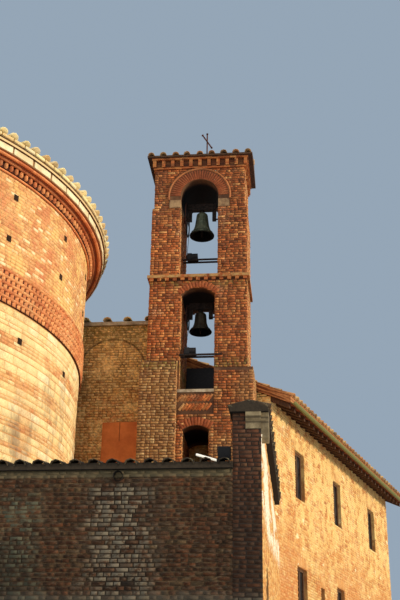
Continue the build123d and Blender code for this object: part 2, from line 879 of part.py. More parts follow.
def wing_wall_piers():
    """Full-height strips of both long walls between the window columns."""
    edges = column_edges()
    starts = [0] + [e[1] for e in edges]
    ends = [e[0] for e in edges] + [wing_length]
    pieces = []
    for t0 in (0, wing_width - wing_wall):
        for s0, s1 in zip(starts, ends):
            pieces.append(block(s0, s1, t0, t0 + wing_wall, 0, wing_wall_top))
    return one([wing_place * piece for piece in pieces])


def wing_wall_panels():
    """Brickwork below, between and above the windows of both long walls."""
    pieces = []
    for t0 in (0, wing_width - wing_wall):
        for index, (s0, s1) in enumerate(column_edges()):
            openings = storey_sills(index)
            if column_kinds[index] == "door" and t0 == 0:
                openings[0] = (0, wing_door_height)
            low = 0
            for sill, head in openings:
                if sill > low:
                    pieces.append(block(s0, s1, t0, t0 + wing_wall, low, sill))
                low = head
            pieces.append(block(s0, s1, t0, t0 + wing_wall, low, wing_wall_top))
    return one([wing_place * piece for piece in pieces])


def window_places():
    """Each window of the wing: along the wall, its width, sill, head and the wall it is in."""
    places = []
    for t0 in (0, wing_width - wing_wall):
        for index, (s0, s1) in enumerate(column_edges()):
            openings = storey_sills(index)
            if column_kinds[index] == "door" and t0 == 0:
                openings = openings[1:]
            for sill, head in openings:
                setback = frame_setback if t0 == 0 else wing_wall - frame_setback - frame_depth
                places.append((s0, s1, sill, head, t0 + setback))
    return places


def wing_window_frames():
    """A wooden frame with a middle post in each window."""
    frames = []
    for s0, s1, sill, head, t in window_places():
        outer = block(s0, s1, t, t + frame_depth, sill, head)
        inner = block(s0 + frame_bar, s1 - frame_bar, t - overrun, t + frame_depth + overrun,
                      sill + frame_bar, head - frame_bar)
        frame = outer - inner
        if s1 - s0 > post_from_width:
            middle = (s0 + s1) / 2
            frame += block(middle - frame_bar / 2, middle + frame_bar / 2, t, t + frame_depth,
                           sill + frame_bar, head - frame_bar)
        frames.append(frame)
    return one([wing_place * frame for frame in frames])


def wing_window_glass():
    """The panes, between the frame's bars."""
    panes = []
    for s0, s1, sill, head, t in window_places():
        lights = [(s0 + frame_bar, s1 - frame_bar)]
        if s1 - s0 > post_from_width:
            middle = (s0 + s1) / 2
            lights = [(s0 + frame_bar, middle - frame_bar / 2),
                      (middle + frame_bar / 2, s1 - frame_bar)]
        for a, b in lights:
            y = t + frame_depth / 2
            panes.append(block(a, b, y - pane_thick / 2, y + pane_thick / 2,
                               sill + frame_bar, head - frame_bar))
    return one([wing_place * pane for pane in panes])


def wing_door():
    """The wing's boarded door, closed."""
    s0, s1 = column_edges()[column_kinds.index("door")]
    return wing_place * block(s0 + seat_gap, s1 - seat_gap, frame_setback, frame_setback + frame_depth,
                              door_foot_gap, wing_door_height - seat_gap)


wing_rise = math.tan(math.radians(wing_pitch))


def gable(s0):
    """An end wall of the wing, up to the roof's underside."""
    t0 = wing_wall
    t1 = wing_width - wing_wall
    half = wing_width / 2
    shoulder = wing_wall_top + wing_wall * wing_rise
    ridge = wing_wall_top + half * wing_rise
    points = [(t0, 0), (t1, 0), (t1, shoulder), (half, ridge), (t0, shoulder)]
    return wing_place * profile_along_x(points, s0, s0 + wing_wall)


def wing_floors():
    """The two upper floors, carried between the walls."""
    slabs = []
    for storey in (1, 2):
        level = ground_sill + storey * storey_rise - sill_above_floor
        slabs.append(block(wing_wall, wing_length - wing_wall, wing_wall, wing_width - wing_wall,
                           level - floor_thick, level))
    return one([wing_place * slab for slab in slabs])


def roof_z(t):
    """Height of the roof's underside at a distance from the long wall's face."""
    return wing_wall_top + t * wing_rise


def wing_roof(front):
    """One slope of the wing's roof, from the ridge to its eave."""
    half = wing_width / 2
    t0 = -wing_eave_out
    thick = wing_roof_thick / math.cos(math.radians(wing_pitch))
    points = [(t0, roof_z(t0)), (half, roof_z(half)), (half, roof_z(half) + thick),
              (t0, roof_z(t0) + thick)]
    if not front:
        points = [(wing_width - t, z) for t, z in points]
    return wing_place * profile_along_x(points, -wing_verge_out, wing_length + wing_verge_out)


def wing_rafters():
    """Rafter tails under both eaves, with their ends against the long walls."""
    drop = rafter_height / math.cos(math.radians(wing_pitch))
    t0 = -wing_eave_out + rafter_setback
    points = [(t0, roof_z(t0) - drop), (0, roof_z(0) - drop), (0, roof_z(0)), (t0, roof_z(t0))]
    mirrored = [(wing_width - t, z) for t, z in points]
    tails = []
    for s in row_of_boxes(0, wing_length, rafter_width, rafter_pitch - rafter_width):
        for outline in (points, mirrored):
            tails.append(profile_along_x(outline, s - rafter_width / 2, s + rafter_width / 2))
    return one([wing_place * tail for tail in tails])


def wing_gutters():
    """Half-round gutters along both eaves."""
    gutters = []
    z = roof_z(-wing_eave_out) + gutter_radius * 0.6
    for t in (-wing_eave_out - gutter_radius, wing_width + wing_eave_out + gutter_radius):
        with BuildPart() as gutter:
            with BuildSketch(Plane.YZ.offset(-wing_verge_out)):
                with Locations((t, z)):
                    Circle(gutter_radius)
                    Circle(gutter_radius - gutter_wall, mode=Mode.SUBTRACT)
                    with Locations((0, gutter_radius)):
                        Rectangle(4 * gutter_radius, 2 * gutter_radius, mode=Mode.SUBTRACT)
            extrude(amount=wing_length + 2 * wing_verge_out)
        gutters.append(gutter.part)
    return one([wing_place * gutter for gutter in gutters])


nodes = {
    "tower_left_pier": tower_left_pier(),
    "tower_right_pier": tower_right_pier(),
    "tower_bay_foot": tower_bay_foot(),
    "tower_bay_arch": tower_bay_arch(),
    "middle_sill": middle_sill(),
    "belfry_piers_lower": belfry_piers_lower(),
    "middle_arch": middle_arch(),
    "string_course": string_course(),
    "belfry_piers_upper": belfry_piers_upper(),
    "imposts": imposts(),
    "upper_arch_left": upper_arch(-1),
    "upper_arch_right": upper_arch(1),
    "cornice": cornice(),
    "tower_roof": tower_roof(),
    "cross": cross(),
    "upper_bell": bell(upper_bell_mouth, upper_bell_height, upper_bell_lip, upper_bell_shoulder),
    "upper_headstock": headstock(upper_open_half, upper_axle_z, upper_bell_lip + upper_bell_height),
    "upper_wheel": wheel(upper_open_half, upper_axle_z, upper_wheel_radius),
    "upper_clapper": clapper(upper_bell_mouth, upper_bell_height, upper_bell_lip),
    "lower_bell": bell(lower_bell_mouth, lower_bell_height, lower_bell_lip, lower_bell_shoulder),
    "lower_headstock": headstock(middle_open_half, lower_axle_z, lower_bell_lip + lower_bell_height),
    "lower_wheel": wheel(middle_open_half, lower_axle_z, lower_wheel_radius),
    "lower_clapper": clapper(lower_bell_mouth, lower_bell_height, lower_bell_lip),
    "bearings": bearings(),
    "drive_bars": drive_bars(),
    "motors": motors(),
    "drive_chains": drive_chains(),
    "opening_guard": opening_guard(),
    "hall_walls_side": hall_walls(0),
    "hall_walls_right_back": hall_walls(1),
    "hall_walls_front_back": hall_walls(2),
    "hall_walls_right_front": hall_walls(3),
    "hall_door": hall_door(),
    "hall_roof_a": hall_roof(0),
    "hall_roof_b": hall_roof(1),
    "hall_cap": hall_cap(),
    "link_wall": link_wall(),
    "link_coping": link_coping(),
    "shutter_board": shutter_board(),
    "wall_lamp": wall_lamp(),
    "front_wall": front_wall(),
    "front_coping": front_coping(),
    "side_wall": side_wall(),
    "side_coping": side_coping(),
    "pier_stones": pier_stones(),
    "lean_to_roof": lean_to_roof(),
    "floodlight": floodlight(),
    "wing_wall_piers": wing_wall_piers(),
    "wing_wall_panels": wing_wall_panels(),
    "wing_near_gable": gable(0),
    "wing_far_gable": gable(wing_length - wing_wall),
    "wing_floors": wing_floors(),
    "wing_roof_front": wing_roof(True),
    "wing_roof_back": wing_roof(False),
    "wing_rafters": wing_rafters(),
    "wing_gutters": wing_gutters(),
    "wing_window_frames": wing_window_frames(),
    "wing_window_glass": wing_window_glass(),
    "wing_door": wing_door(),
}

os.makedirs("parts", exist_ok=True)
for name, shape in nodes.items():
    export_step(shape, f"parts/{name}.step")
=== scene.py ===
import math
from contextlib import contextmanager

import bmesh
import bpy
import numpy as np
from mathutils import Matrix, Vector


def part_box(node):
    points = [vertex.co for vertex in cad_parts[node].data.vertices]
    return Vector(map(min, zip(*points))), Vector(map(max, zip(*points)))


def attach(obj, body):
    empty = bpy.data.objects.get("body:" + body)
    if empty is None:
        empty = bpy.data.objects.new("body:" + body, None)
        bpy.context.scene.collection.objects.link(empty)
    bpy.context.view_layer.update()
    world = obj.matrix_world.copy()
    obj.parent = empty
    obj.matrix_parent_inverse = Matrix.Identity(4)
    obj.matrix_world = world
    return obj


bl_info = {
    "name": "Brick chapel with a bell tower",
    "version": (1, 0, 0),
    "blender": (4, 5, 0),
    "location": "View3D > Sidebar > Chapel",
    "description": "Brickwork, roof tiles, bells and stage for the chapel group",
    "category": "Object",
}

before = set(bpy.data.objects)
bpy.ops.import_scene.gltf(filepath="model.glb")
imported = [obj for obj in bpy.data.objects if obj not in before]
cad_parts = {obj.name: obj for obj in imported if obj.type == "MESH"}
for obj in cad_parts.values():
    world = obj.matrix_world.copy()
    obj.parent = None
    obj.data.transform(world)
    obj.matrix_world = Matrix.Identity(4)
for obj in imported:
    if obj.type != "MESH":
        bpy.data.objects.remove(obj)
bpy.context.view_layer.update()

RIGHT = np.array([1.0, 0.0, 0.0])
BACK = np.array([0.0, 1.0, 0.0])
UP = np.array([0.0, 0.0, 1.0])

# Places taken from the frame, in metres
left_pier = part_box("tower_left_pier")
right_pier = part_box("tower_right_pier")
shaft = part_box("belfry_piers_lower")
string_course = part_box("string_course")
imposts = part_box("imposts")
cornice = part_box("cornice")
tower_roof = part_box("tower_roof")
link_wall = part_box("link_wall")
link_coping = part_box("link_coping")
front_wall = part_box("front_wall")
front_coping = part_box("front_coping")
side_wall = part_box("side_wall")
side_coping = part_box("side_coping")
lean_to_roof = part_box("lean_to_roof")

# Where the annex's front wall meets the pier at its corner, and the top of the pier's stones
PIER_X = front_wall[1].x
PIER_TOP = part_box("pier_stones")[1].z

# Openings of the tower: half width, sill, spring of the arch and rise of the arch
LOW_OPENING = (0.30, 6.45, 7.39, 0.10)
MIDDLE_OPENING = (0.40, 8.33, 10.70, 0.18)
UPPER_OPENING = (0.46, 11.21, 13.36, 0.46)
ARCH_RING = 0.31
BAY_LEFT = -0.44
BAY_TOP = 7.75
ROOF_LINE = 5.0
LEDGE = 0.09
TOWER_ROOF_EDGE = 0.045
TOWER_ROOF_PITCH = math.radians(16)

# Underside of the middle sill, and the white blocks beside the upper arch, where no bricks are laid
SILL_LOW = 8.26
BLOCK_HALF = 0.74
BLOCK_LOW = 13.0

# Slanting bricks under the middle sill: lowest z, height of a tier, angle, spacing
PANEL_LOW = 7.92
PANEL_TIER = 0.21
PANEL_SLANT = math.radians(38)
PANEL_PITCH = 0.075

# Round hall: middle, radius and the heights of its courses
HALL = (-8.74, -2.10)
HALL_RADIUS = 6.20
HALL_PLINTH = 0.76
HALL_MIDDLE = 4.6
HALL_PALE_BAND = 0.32
HALL_BELT = (8.60, 9.30)
HALL_DRUM_OUT = 0.03
HALL_DENTILS = (11.35, 11.48)
HALL_BAND = (11.53, 11.68)
HALL_BAND_RADIUS = 6.58
HALL_ROOF_THICK = 0.20
HALL_EAVE_RADIUS = 6.64
HALL_ROOF_PITCH = math.radians(20)
HALL_DOOR_HALF = 0.65
HALL_DOOR_HEIGHT = 2.40
HALL_DOOR_ANGLE = 1.5 * math.pi

# Numbers of pieces round the hall
BELT_TIERS = 5
BELT_TEETH = 280
DENTILS = 278
BAND_STONES = 72
PUTLOGS = 20
PUTLOG_TURN = math.radians(17.3)

# Wing: near corner, directions, length, width, wall top, roof pitch, windows
WING_CORNER = np.array([1.61, 0.68, 0.0])
WING_TURN = math.radians(71.4)
WING_ALONG = np.array([math.cos(WING_TURN), math.sin(WING_TURN), 0.0])
WING_INWARD = np.cross(UP, WING_ALONG)
WING_LENGTH = 10.2
WING_WIDTH = 6.0
WING_TOP = 8.65
WING_PITCH = math.radians(26)
WING_EAVE_OUT = 0.52
WING_ROOF_THICK = 0.195
WING_COLUMNS = ((1.965, 0.69), (3.49, 0.30), (5.0, 0.66), (8.34, 0.69))
WING_NARROW = 1
WING_DOOR = 2
WING_SILLS = (0.96, 3.78, 6.60)
WING_WINDOW_HEIGHT = 1.22
WING_NARROW_HEIGHT = 1.00
WING_DOOR_HEIGHT = 2.25

# Annex: doorway's middle along Y, half width and spring; lean-to roof's lower and upper edge
DOORWAY = (-6.25, 0.55, 2.85)
LEAN_TO_LOW = 4.56
LEAN_TO_HIGH = 5.23

# How far tiles, bricks and stones are bedded in, and the shortest brick that is still laid
TILE_SINK = 0.055
BRICK_SINK = 0.003
STONE_SINK = 0.006
SHORTEST = 0.025

# Round wall: a stone's mean length, and the share of pale bricks
STONE_LENGTH = 0.42
PALE_SHARE = 0.12

# How far apart tiles lie on the copings and along the other roofs
COPING_STEP = 0.262
LINK_TILE_STEP = 0.36
ROOF_STEP = 0.30
ROOF_EXPOSURE = 0.34
RIDGE_STEP = 0.38
TOWER_RIDGE_STEP = 0.367
TOWER_RIDGE_TILES = 7

# The rise of an opening with a flat head
FLAT = 0.01


def paint(red, green, blue):
    """A colour written as it looks on a screen, 0 to 255, as Blender's own linear colour."""
    levels = [value / 255 for value in (red, green, blue)]
    linear = [v / 12.92 if v <= 0.04045 else ((v + 0.055) / 1.055) ** 2.4 for v in levels]
    return (*linear, 1.0)


# Materials


class Wire:
    """An output socket of a material, used in sums like a number."""

    def __init__(self, finish, socket):
        self.finish = finish
        self.socket = socket

    def math(self, operation, *others):
        return self.finish.node("ShaderNodeMath", {"operation": operation}, others)

    def __add__(self, other):
        return self.math("ADD", self, other)

    def __sub__(self, other):
        return self.math("SUBTRACT", self, other)

    def __rsub__(self, other):
        return self.math("SUBTRACT", other, self)

    def __mul__(self, other):
        return self.math("MULTIPLY", self, other)

    __radd__ = __add__
    __rmul__ = __mul__

    def sine(self):
        return self.math("SINE", self)

    def size(self):
        return self.math("ABSOLUTE", self)

    def rise(self, low, high):
        """0 below low, 1 above high, and a smooth step between them."""
        settings = {"interpolation_type": "SMOOTHSTEP"}
        return self.finish.node("ShaderNodeMapRange", settings, (self, low, high, 0.0, 1.0))

    def fall(self, low, high):
        """1 below low and 0 above high."""
        return 1.0 - self.rise(low, high)

    def band(self, low, full, last, high):
        """1 between full and last, and 0 below low and above high."""
        return self.rise(low, full) * self.fall(last, high)


class Finish:
    """A node material under construction, on the object's own coordinates."""

    def __init__(self, name):
        self.material = bpy.data.materials.new(name)
        self.material.use_nodes = True
        self.tree = self.material.node_tree
        self.tree.nodes.clear()
        self.place = self.node("ShaderNodeTexCoord", output="Object")
        self.x, self.y, self.z = (self.part(self.place, axis) for axis in range(3))
        self.colour = None

    def node(self, kind, settings=None, inputs=(), output=0):
        """Any node: its settings first, then the values or links of its sockets."""
        made = self.tree.nodes.new(kind)
        for key, value in (settings or {}).items():
            setattr(made, key, value)
        pairs = inputs.items() if isinstance(inputs, dict) else enumerate(inputs)
        for key, value in pairs:
            if isinstance(value, Wire):
                self.tree.links.new(value.socket, made.inputs[key])
            else:
                made.inputs[key].default_value = value
        return Wire(self, made.outputs[output])

    def part(self, vector, axis):
        return self.node("ShaderNodeSeparateXYZ", {}, (vector,), axis)

    def stretched(self, x, y, z):
        """The object's coordinates, scaled along each axis."""
        return self.node("ShaderNodeVectorMath", {"operation": "MULTIPLY"}, (self.place, (x, y, z)))

    def noise(self, scale, detail, roughness, stretch=None):
        """Cloudy noise on the object's coordinates, stretched ones, or any others."""
        place = self.stretched(*stretch) if isinstance(stretch, tuple) else stretch or self.place
        sockets = {"Vector": place, "Scale": scale, "Detail": detail, "Roughness": roughness}
        return self.node("ShaderNodeTexNoise", {}, sockets)

    def tone(self):
        """The tone drawn for each brick or tile, 0 to 1, and 0 on what carries them."""
        return self.node("ShaderNodeAttribute", {"attribute_name": "tone"}, output="Fac")

    def facing_up(self):
        return self.part(self.node("ShaderNodeNewGeometry", output="Normal"), 2)

    def own_normal(self, axis):
        """The way a face looks in the piece's own coordinates, along one axis."""
        return self.part(self.node("ShaderNodeTexCoord", output="Normal"), axis)

    def ramp(self, value, colours):
        """Evenly spaced colours over a value from 0 to 1."""
        wire = self.node("ShaderNodeValToRGB", {}, (value,))
        stops = wire.socket.node.color_ramp.elements
        stops.remove(stops[1])
        stops[0].color = paint(*colours[0])
        for index, colour in enumerate(colours[1:], 1):
            stops.new(index / (len(colours) - 1)).color = paint(*colour)
        return wire

    def mix(self, factor, first, second):
        first, second = (c if isinstance(c, Wire) else paint(*c) for c in (first, second))
        return self.node("ShaderNodeMix", {"data_type": "RGBA"}, {0: factor, 6: first, 7: second}, 2)

    def scaled(self, colour, amount):
        """The colour multiplied by a grey value."""
        plain = colour if isinstance(colour, Wire) else paint(*colour)[:3]
        return self.node("ShaderNodeVectorMath", {"operation": "SCALE"}, {0: plain, "Scale": amount})

    def shade(self, amount):
        """Multiplies the finish by a grey value."""
        self.colour = self.scaled(self.colour, amount)

    def stain(self, mask, colour):
        """Lays a colour over the finish where the mask is 1."""
        self.colour = self.mix(mask, self.colour, colour)

    def done(self, roughness, height=None, distance=0.01, strength=0.6, metallic=0.0, specular=0.25,
             painted_glow=None):
        """Closes the material with one Principled shader and a bump."""
        sockets = {"Base Color": self.colour, "Roughness": roughness, "Metallic": metallic,
                   "Specular IOR Level": specular}
        if painted_glow is not None:
            sockets["Emission Color"] = painted_glow
            sockets["Emission Strength"] = 0.6
        if height is not None:
            bump = {"Strength": strength, "Distance": distance, "Height": height}
            sockets["Normal"] = self.node("ShaderNodeBump", {}, bump)
        shader = self.node("ShaderNodeBsdfPrincipled", {}, sockets)
        output = self.tree.nodes.new("ShaderNodeOutputMaterial")
        self.tree.links.new(shader.socket, output.inputs["Surface"])


def fired_brick(finish, tones, lime, dirt, lime_share=0.5, weathering_and_light=None):
    """Fired brick: a tone for each brick, lime bloom, dirt and a pitted face."""
    noise = finish.noise
    finish.colour = finish.ramp(finish.tone(), tones)
    grain = noise(24.0, 3.0, 0.8).rise(0.30, 0.70)
    finish.shade(0.54 + noise(9.0, 4.0, 0.6) * 0.4 + grain * 0.52)
    bloom = noise(1.3, 5.0, 0.65).rise(lime_share, lime_share + 0.16)
    finish.stain(bloom * noise(38.0, 3.0, 0.7).rise(0.45, 0.62) * 0.75, lime)
    soot = noise(0.8, 4.0, 0.6, (1.0, 1.0, 0.45)).rise(0.52, 0.72)
    finish.stain(soot * 0.55, dirt)
    if weathering_and_light:
        weathering_and_light(finish)
    finish.done(0.92, noise(120.0, 3.0, 0.7) + noise(30.0, 2.0, 0.5) * 0.8, 0.004, 0.7)


def lime_mortar(finish, light, dark, weathering_and_light=None):
    """Lime mortar between and behind the bricks."""
    finish.colour = finish.ramp(finish.noise(2.2, 5.0, 0.6).rise(0.3, 0.7), (dark, light))
    finish.shade(0.8 + finish.noise(45.0, 2.0, 0.6) * 0.4)
    if weathering_and_light:
        weathering_and_light(finish)
    finish.done(0.95, finish.noise(90.0, 3.0, 0.7), 0.004)


def tower_weather_and_light(finish):
    """Painted light and shade: paler towards the left, sunlit on right-facing faces, painted shade deep in
    the jambs; darker at the upper left, moss on the ledges, stony brick in the base.
    """
    x, noise, right = finish.x, finish.noise, finish.own_normal(0).rise(0.85, 0.95)
    ragged = noise(5.0, 4.0, 0.65)
    speck = noise(13.0, 4.0, 0.9, (1.0, 1.0, 1.6)).rise(0.36, 0.64)
    # Painted light: the brick is paler towards the left and darker towards the right.
    finish.shade(0.72 + speck * 0.92 - 0.24 * (x + ragged * 0.4).rise(-1.0, 0.6))
    # Painted sunlight: faces turned to the right take a pale sunlit brick colour.
    finish.stain(right * 0.85, finish.scaled((255, 208, 138), 0.6 + ragged * 0.7))
    # Painted shade: right-facing jamb faces go dark behind their front edge.
    jamb_shade = x.size().fall(0.47, 0.50) * (finish.y + ragged * 0.1).rise(-0.42, -0.30)
    finish.stain(jamb_shade * right * 0.85, (34, 24, 20))
    height = finish.z + ragged * 0.30
    head = (x + ragged * 0.3).fall(-0.78, -0.55) * height.rise(13.4, 13.9)
    finish.stain(head * 0.4, (74, 52, 40))
    stony = finish.ramp(finish.tone(), ((150, 112, 66), (168, 132, 80), (138, 98, 60), (180, 148, 98)))
    left = (x + ragged * 0.2).fall(-0.42, -0.25)
    mixed = noise(1.7, 3.0, 0.5).rise(0.42, 0.60)
    base = height.fall(9.05, 9.30) * (left * 0.85 + (1.0 - left) * mixed * 0.55)
    finish.stain(base, finish.scaled(stony, 0.52 + speck * 0.98))
    ledges = height.band(8.86, 9.0, 9.12, 9.35) + height.band(11.0, 11.14, 11.3, 11.45) * 0.8
    finish.stain(ledges * noise(11.0, 4.0, 0.7).rise(0.42, 0.6) * 0.75, (122, 112, 52))


def mortar_sunlit_side(finish):
    """Painted sunlight: the mortar of the tower's right side is as pale as its bricks there."""
    finish.stain(finish.own_normal(0).rise(0.85, 0.95) * 0.8, (232, 176, 112))


def front_wall_weather_and_shade(finish):
    """Darkened partly as painted shade and partly as dirt; limy bricks below the drain hole, green ones at
    the left, a plaster edge above and below.
    """
    x, z, noise, stain = finish.x, finish.z, finish.noise, finish.stain
    ragged = noise(2.6, 5.0, 0.7)
    speck = noise(11.0, 4.0, 0.9, (1.0, 1.0, 2.0)).rise(0.36, 0.64)
    # Painted shade as well as dirt: the whole wall is darkened, a little less towards its top.
    finish.shade(0.38 + speck * 0.92 + z.rise(2.9, 4.2) * 0.16)
    stain(noise(6.0, 5.0, 0.85, (1.0, 1.0, 4.5)).rise(0.53, 0.60) * 0.42, (104, 92, 74))
    pier = x.rise(PIER_X - 0.02, PIER_X)
    stain(pier * z.rise(3.6, 4.8) * 0.4, (104, 62, 44))
    stain(pier * z.fall(3.9, 4.7) * 0.5, (50, 30, 19))
    patchy = noise(11.0, 4.0, 0.7)
    limy = finish.tone().rise(0.08, 0.50) * patchy.rise(0.34, 0.56)
    stripe = (x + 0.30 + (ragged - 0.5) * 0.8).size().fall(0.15, 0.70) * z.fall(4.20, 4.38)
    stain(stripe * finish.tone().fall(0.0, 0.002) * 0.75, (32, 26, 19))
    stain(stripe * limy * 0.75, (128, 118, 98))
    green = (x + 1.76 + (ragged - 0.5) * 0.5).size().fall(0.12, 0.46)
    stain(green * limy * z.fall(4.0, 4.3) * 0.8, (92, 94, 74))
    left = x + ragged
    stain(left.fall(-2.2, -1.5) * patchy.rise(0.50, 0.62) * 0.6, (30, 26, 20))
    stain(left.fall(-1.5, -0.6) * z.fall(2.9, 3.8) * 0.6, (30, 24, 16))
    edge = (z + ragged * 0.05).rise(4.40, 4.43) * z.fall(4.50, 4.54)
    stain(edge * (1.0 - pier) * 0.65, (106, 96, 70))
    foot = (z + ragged * 0.5).rise(2.20, 2.50) * left.rise(-1.9, -1.2)
    stain(foot * (z + ragged * 0.3).fall(2.75, 2.95) * 0.6, (96, 90, 76))


def link_weather_and_shade(finish):
    """Moss below the link wall's coping, clouds, and a painted shadow along the edge of a walled-up arch.
    """
    z, stain = finish.z, finish.stain
    cloud = finish.noise(1.6, 5.0, 0.7)
    fine = finish.noise(13.0, 4.0, 0.75)
    low = (z + cloud * 1.2).fall(8.6, 9.6)
    stain(low * fine.rise(0.40, 0.60) * 0.55, (214, 128, 66))
    reach = finish.node("ShaderNodeVectorMath", {"operation": "DISTANCE"},
                        (finish.stretched(1.0, 0.0, 1.0), (-2.10, 0.0, 9.18)), 1)
    over = z.rise(9.36, 9.44) * (finish.x + 2.9).rise(0.0, 0.1)
    stain(over * reach.rise(0.80, 0.84) * fine.rise(0.38, 0.54) * 0.55, (128, 108, 66))
    # Painted shadow: a dark line along the walled-up arch's edge.
    stain(over * (reach - 0.79).size().fall(0.012, 0.040) * 0.7, (58, 42, 24))
    stain(cloud.rise(0.50, 0.60) * 0.62, (236, 200, 130))
    stain(cloud.fall(0.40, 0.48) * fine.rise(0.40, 0.56) * 0.45, (112, 84, 46))
    grit = finish.noise(12.0, 4.0, 0.9, (1.0, 1.0, 1.5)).rise(0.36, 0.64)
    finish.shade(0.62 + grit * 0.78 + z.rise(8.8, 9.4) * 0.24)
    stain((z + cloud * 0.8).rise(10.1, 10.6) * fine.rise(0.42, 0.58) * 0.6, (146, 124, 58))


def wing_weather(finish):
    """Cream clouds high on the wing, orange ones low, and small pale patches of plaster."""
    cloud = finish.noise(0.8, 5.0, 0.65)
    height = (finish.z + cloud * 3.0).rise(5.6, 8.4)
    cream = (height * 0.7 + 0.2) * finish.noise(3.2, 5.0, 0.7).rise(0.44, 0.56)
    finish.stain(cream * 0.75, (246, 212, 138))
    finish.stain((1.0 - height) * cloud.fall(0.46, 0.58) * 0.5, (218, 140, 78))
    patch = finish.noise(2.1, 3.0, 0.6, (1.0, 1.0, 1.5)).rise(0.665, 0.69)
    finish.stain(patch * 0.8, (255, 234, 184))
    finish.shade(0.90 + height * 0.10)


def arch_shade(finish):
    """Painted shade: the tower's arches are black inside, behind their front bricks."""
    finish.stain(finish.x.size().fall(0.462, 0.470) * finish.y.size().fall(0.40, 0.60), (16, 10, 8))


def side_shade(finish):
    """Painted shade: the front and inner faces of the side wall are as dark as the front wall."""
    finish.stain(2.0 - finish.y.rise(-7.836, -7.828) - finish.x.rise(1.325, 1.335), (54, 44, 36))


def hall_weather(finish):
    """Grey streaks and clouds low on the round wall, and cream patches."""
    finish.stain(finish.noise(1.1, 4.0, 0.6).rise(0.46, 0.60) * 0.55, (250, 222, 158))
    low = (finish.z + finish.noise(0.55, 5.0, 0.65) * 3.0).fall(8.4, 9.8)
    streak = finish.noise(2.2, 5.0, 0.7, (1.0, 1.0, 0.35)).rise(0.47, 0.64)
    finish.stain(low * streak * 0.6, (140, 122, 98))


def drum_weather(finish):
    """Clouds of yellow and of pink over the round hall's upper bricks."""
    cloud = finish.noise(1.2, 5.0, 0.65)
    finish.stain(cloud.rise(0.50, 0.60) * 0.6, (246, 208, 128))
    finish.stain(cloud.fall(0.36, 0.47) * 0.6, (214, 124, 84))
    stone = finish.tone().rise(0.62, 0.70) * finish.noise(7.0, 2.0, 0.5).rise(0.40, 0.50)
    finish.stain(stone * 0.7, (252, 232, 180))


def hall_courses(finish):
    """Painted shade between the belt's teeth and between the dentils, and the colours under the mouldings.
    """
    low, high = HALL_BELT
    # Painted shade behind the belt's teeth.
    finish.stain(finish.z.band(low - 0.01, low, high, high + 0.02), (84, 44, 28))
    # Painted shade between the dentils, then the colours under the mouldings and the stone band.
    for level, step, colour in ((HALL_DENTILS[0] - 0.02, 0.01, (70, 34, 22)),
                                (HALL_DENTILS[1] + 0.002, 0.004, (148, 78, 46)),
                                (HALL_BAND[0] - 0.004, 0.004, (158, 116, 74))):
        finish.stain(finish.z.rise(level, level + step), colour)


def tooth_weather_and_shade(finish):
    """Painted shade in the recesses between the teeth of the tower's string course and cornice, and pale
    patches on the string course.
    """
    z, side, face = finish.z, finish.x.size(), finish.y.size()
    upper = z.band(14.188, 14.195, 14.375, 14.382)
    upper = upper * face.fall(0.735, 0.745) * side.fall(1.135, 1.145)
    lower = z.fall(11.125, 11.135) * face.fall(0.715, 0.725)
    pale = z.band(11.13, 11.14, 11.3, 11.4) * finish.noise(9.0, 4.0, 0.7).rise(0.40, 0.56)
    finish.stain(pale * 0.6, (186, 158, 100))
    # Painted shade in the recesses.
    finish.stain(upper * 0.72 + lower * 0.85, (46, 28, 20))


def moulded_courses(finish, tones, joint, pitch=0.075, course=0.064, weathering_and_light=None):
    """Moulded brick courses: a tone for each brick, found from its place."""
    cells = (pitch * 2, pitch * 2, course)
    snapped = finish.node("ShaderNodeVectorMath", {"operation": "SNAP"}, (finish.place, cells))
    cell = finish.node("ShaderNodeTexWhiteNoise", {"noise_dimensions": "3D"}, (snapped,))
    finish.colour = finish.ramp(cell, tones)
    finish.shade(0.75 + finish.noise(10.0, 4.0, 0.6) * 0.5)
    step = 1.0 / pitch
    wave = (finish.x * step * math.pi).sine() * (finish.y * step * math.pi).sine()
    seam = (finish.z * (1.0 / course) * 2 * math.pi).sine().rise(0.86, 0.98)
    finish.stain(seam * 0.6, joint)
    if weathering_and_light:
        weathering_and_light(finish)
    finish.done(0.92, finish.noise(70.0, 3.0, 0.7) + (1.0 - seam) * 0.6 + wave * 0.05, 0.006)


def dressed_stone(finish, light, dark, moss=None, hollows=()):
    """Dressed stone with grey weathering, and painted shade in the hollows of its moulding at the given
    heights.
    """
    finish.colour = finish.ramp(finish.noise(3.5, 5.0, 0.65).rise(0.32, 0.68), (dark, light))
    finish.shade(0.8 + finish.noise(60.0, 3.0, 0.7) * 0.4)
    # Painted shade: a dark line at each hollow's height.
    for height in hollows:
        finish.stain((finish.z - height).size().fall(0.008, 0.022) * 0.65, (58, 48, 34))
    if moss:
        growth = finish.noise(8.0, 4.0, 0.7).rise(0.5, 0.64) * finish.facing_up().rise(-0.1, 0.6)
        finish.stain(growth * 0.8, moss)
    finish.done(0.88, finish.noise(70.0, 4.0, 0.7), 0.004)


def fired_tile(finish, tones, lichen, dark):
    """Fired roof tiles with a tone each, lichen spots and dirt between them."""
    finish.colour = finish.ramp(finish.tone(), tones)
    finish.shade(0.72 + finish.noise(12.0, 4.0, 0.6) * 0.56)
    finish.stain(finish.noise(26.0, 4.0, 0.7).rise(0.54, 0.63) * 0.7, lichen)
    finish.stain(finish.noise(3.0, 4.0, 0.6).rise(0.52, 0.70) * 0.6, dark)
    finish.done(0.9, finish.noise(80.0, 3.0, 0.6), 0.004)


def verge_streaks(finish):
    """Long streaks down the wing's gable edges, parallel with the roof's slope."""
    ridge = float(WING_CORNER @ WING_INWARD) + WING_WIDTH / 2
    across = (finish.x * float(WING_INWARD[0]) + finish.y * float(WING_INWARD[1]) - ridge).size()
    layer = finish.z + across * math.tan(WING_PITCH)
    place = finish.node("ShaderNodeCombineXYZ", {}, (across * 1.6, layer * 22.0, 0.0))
    return finish.noise(1.0, 3.0, 0.6, place).rise(0.36, 0.64)


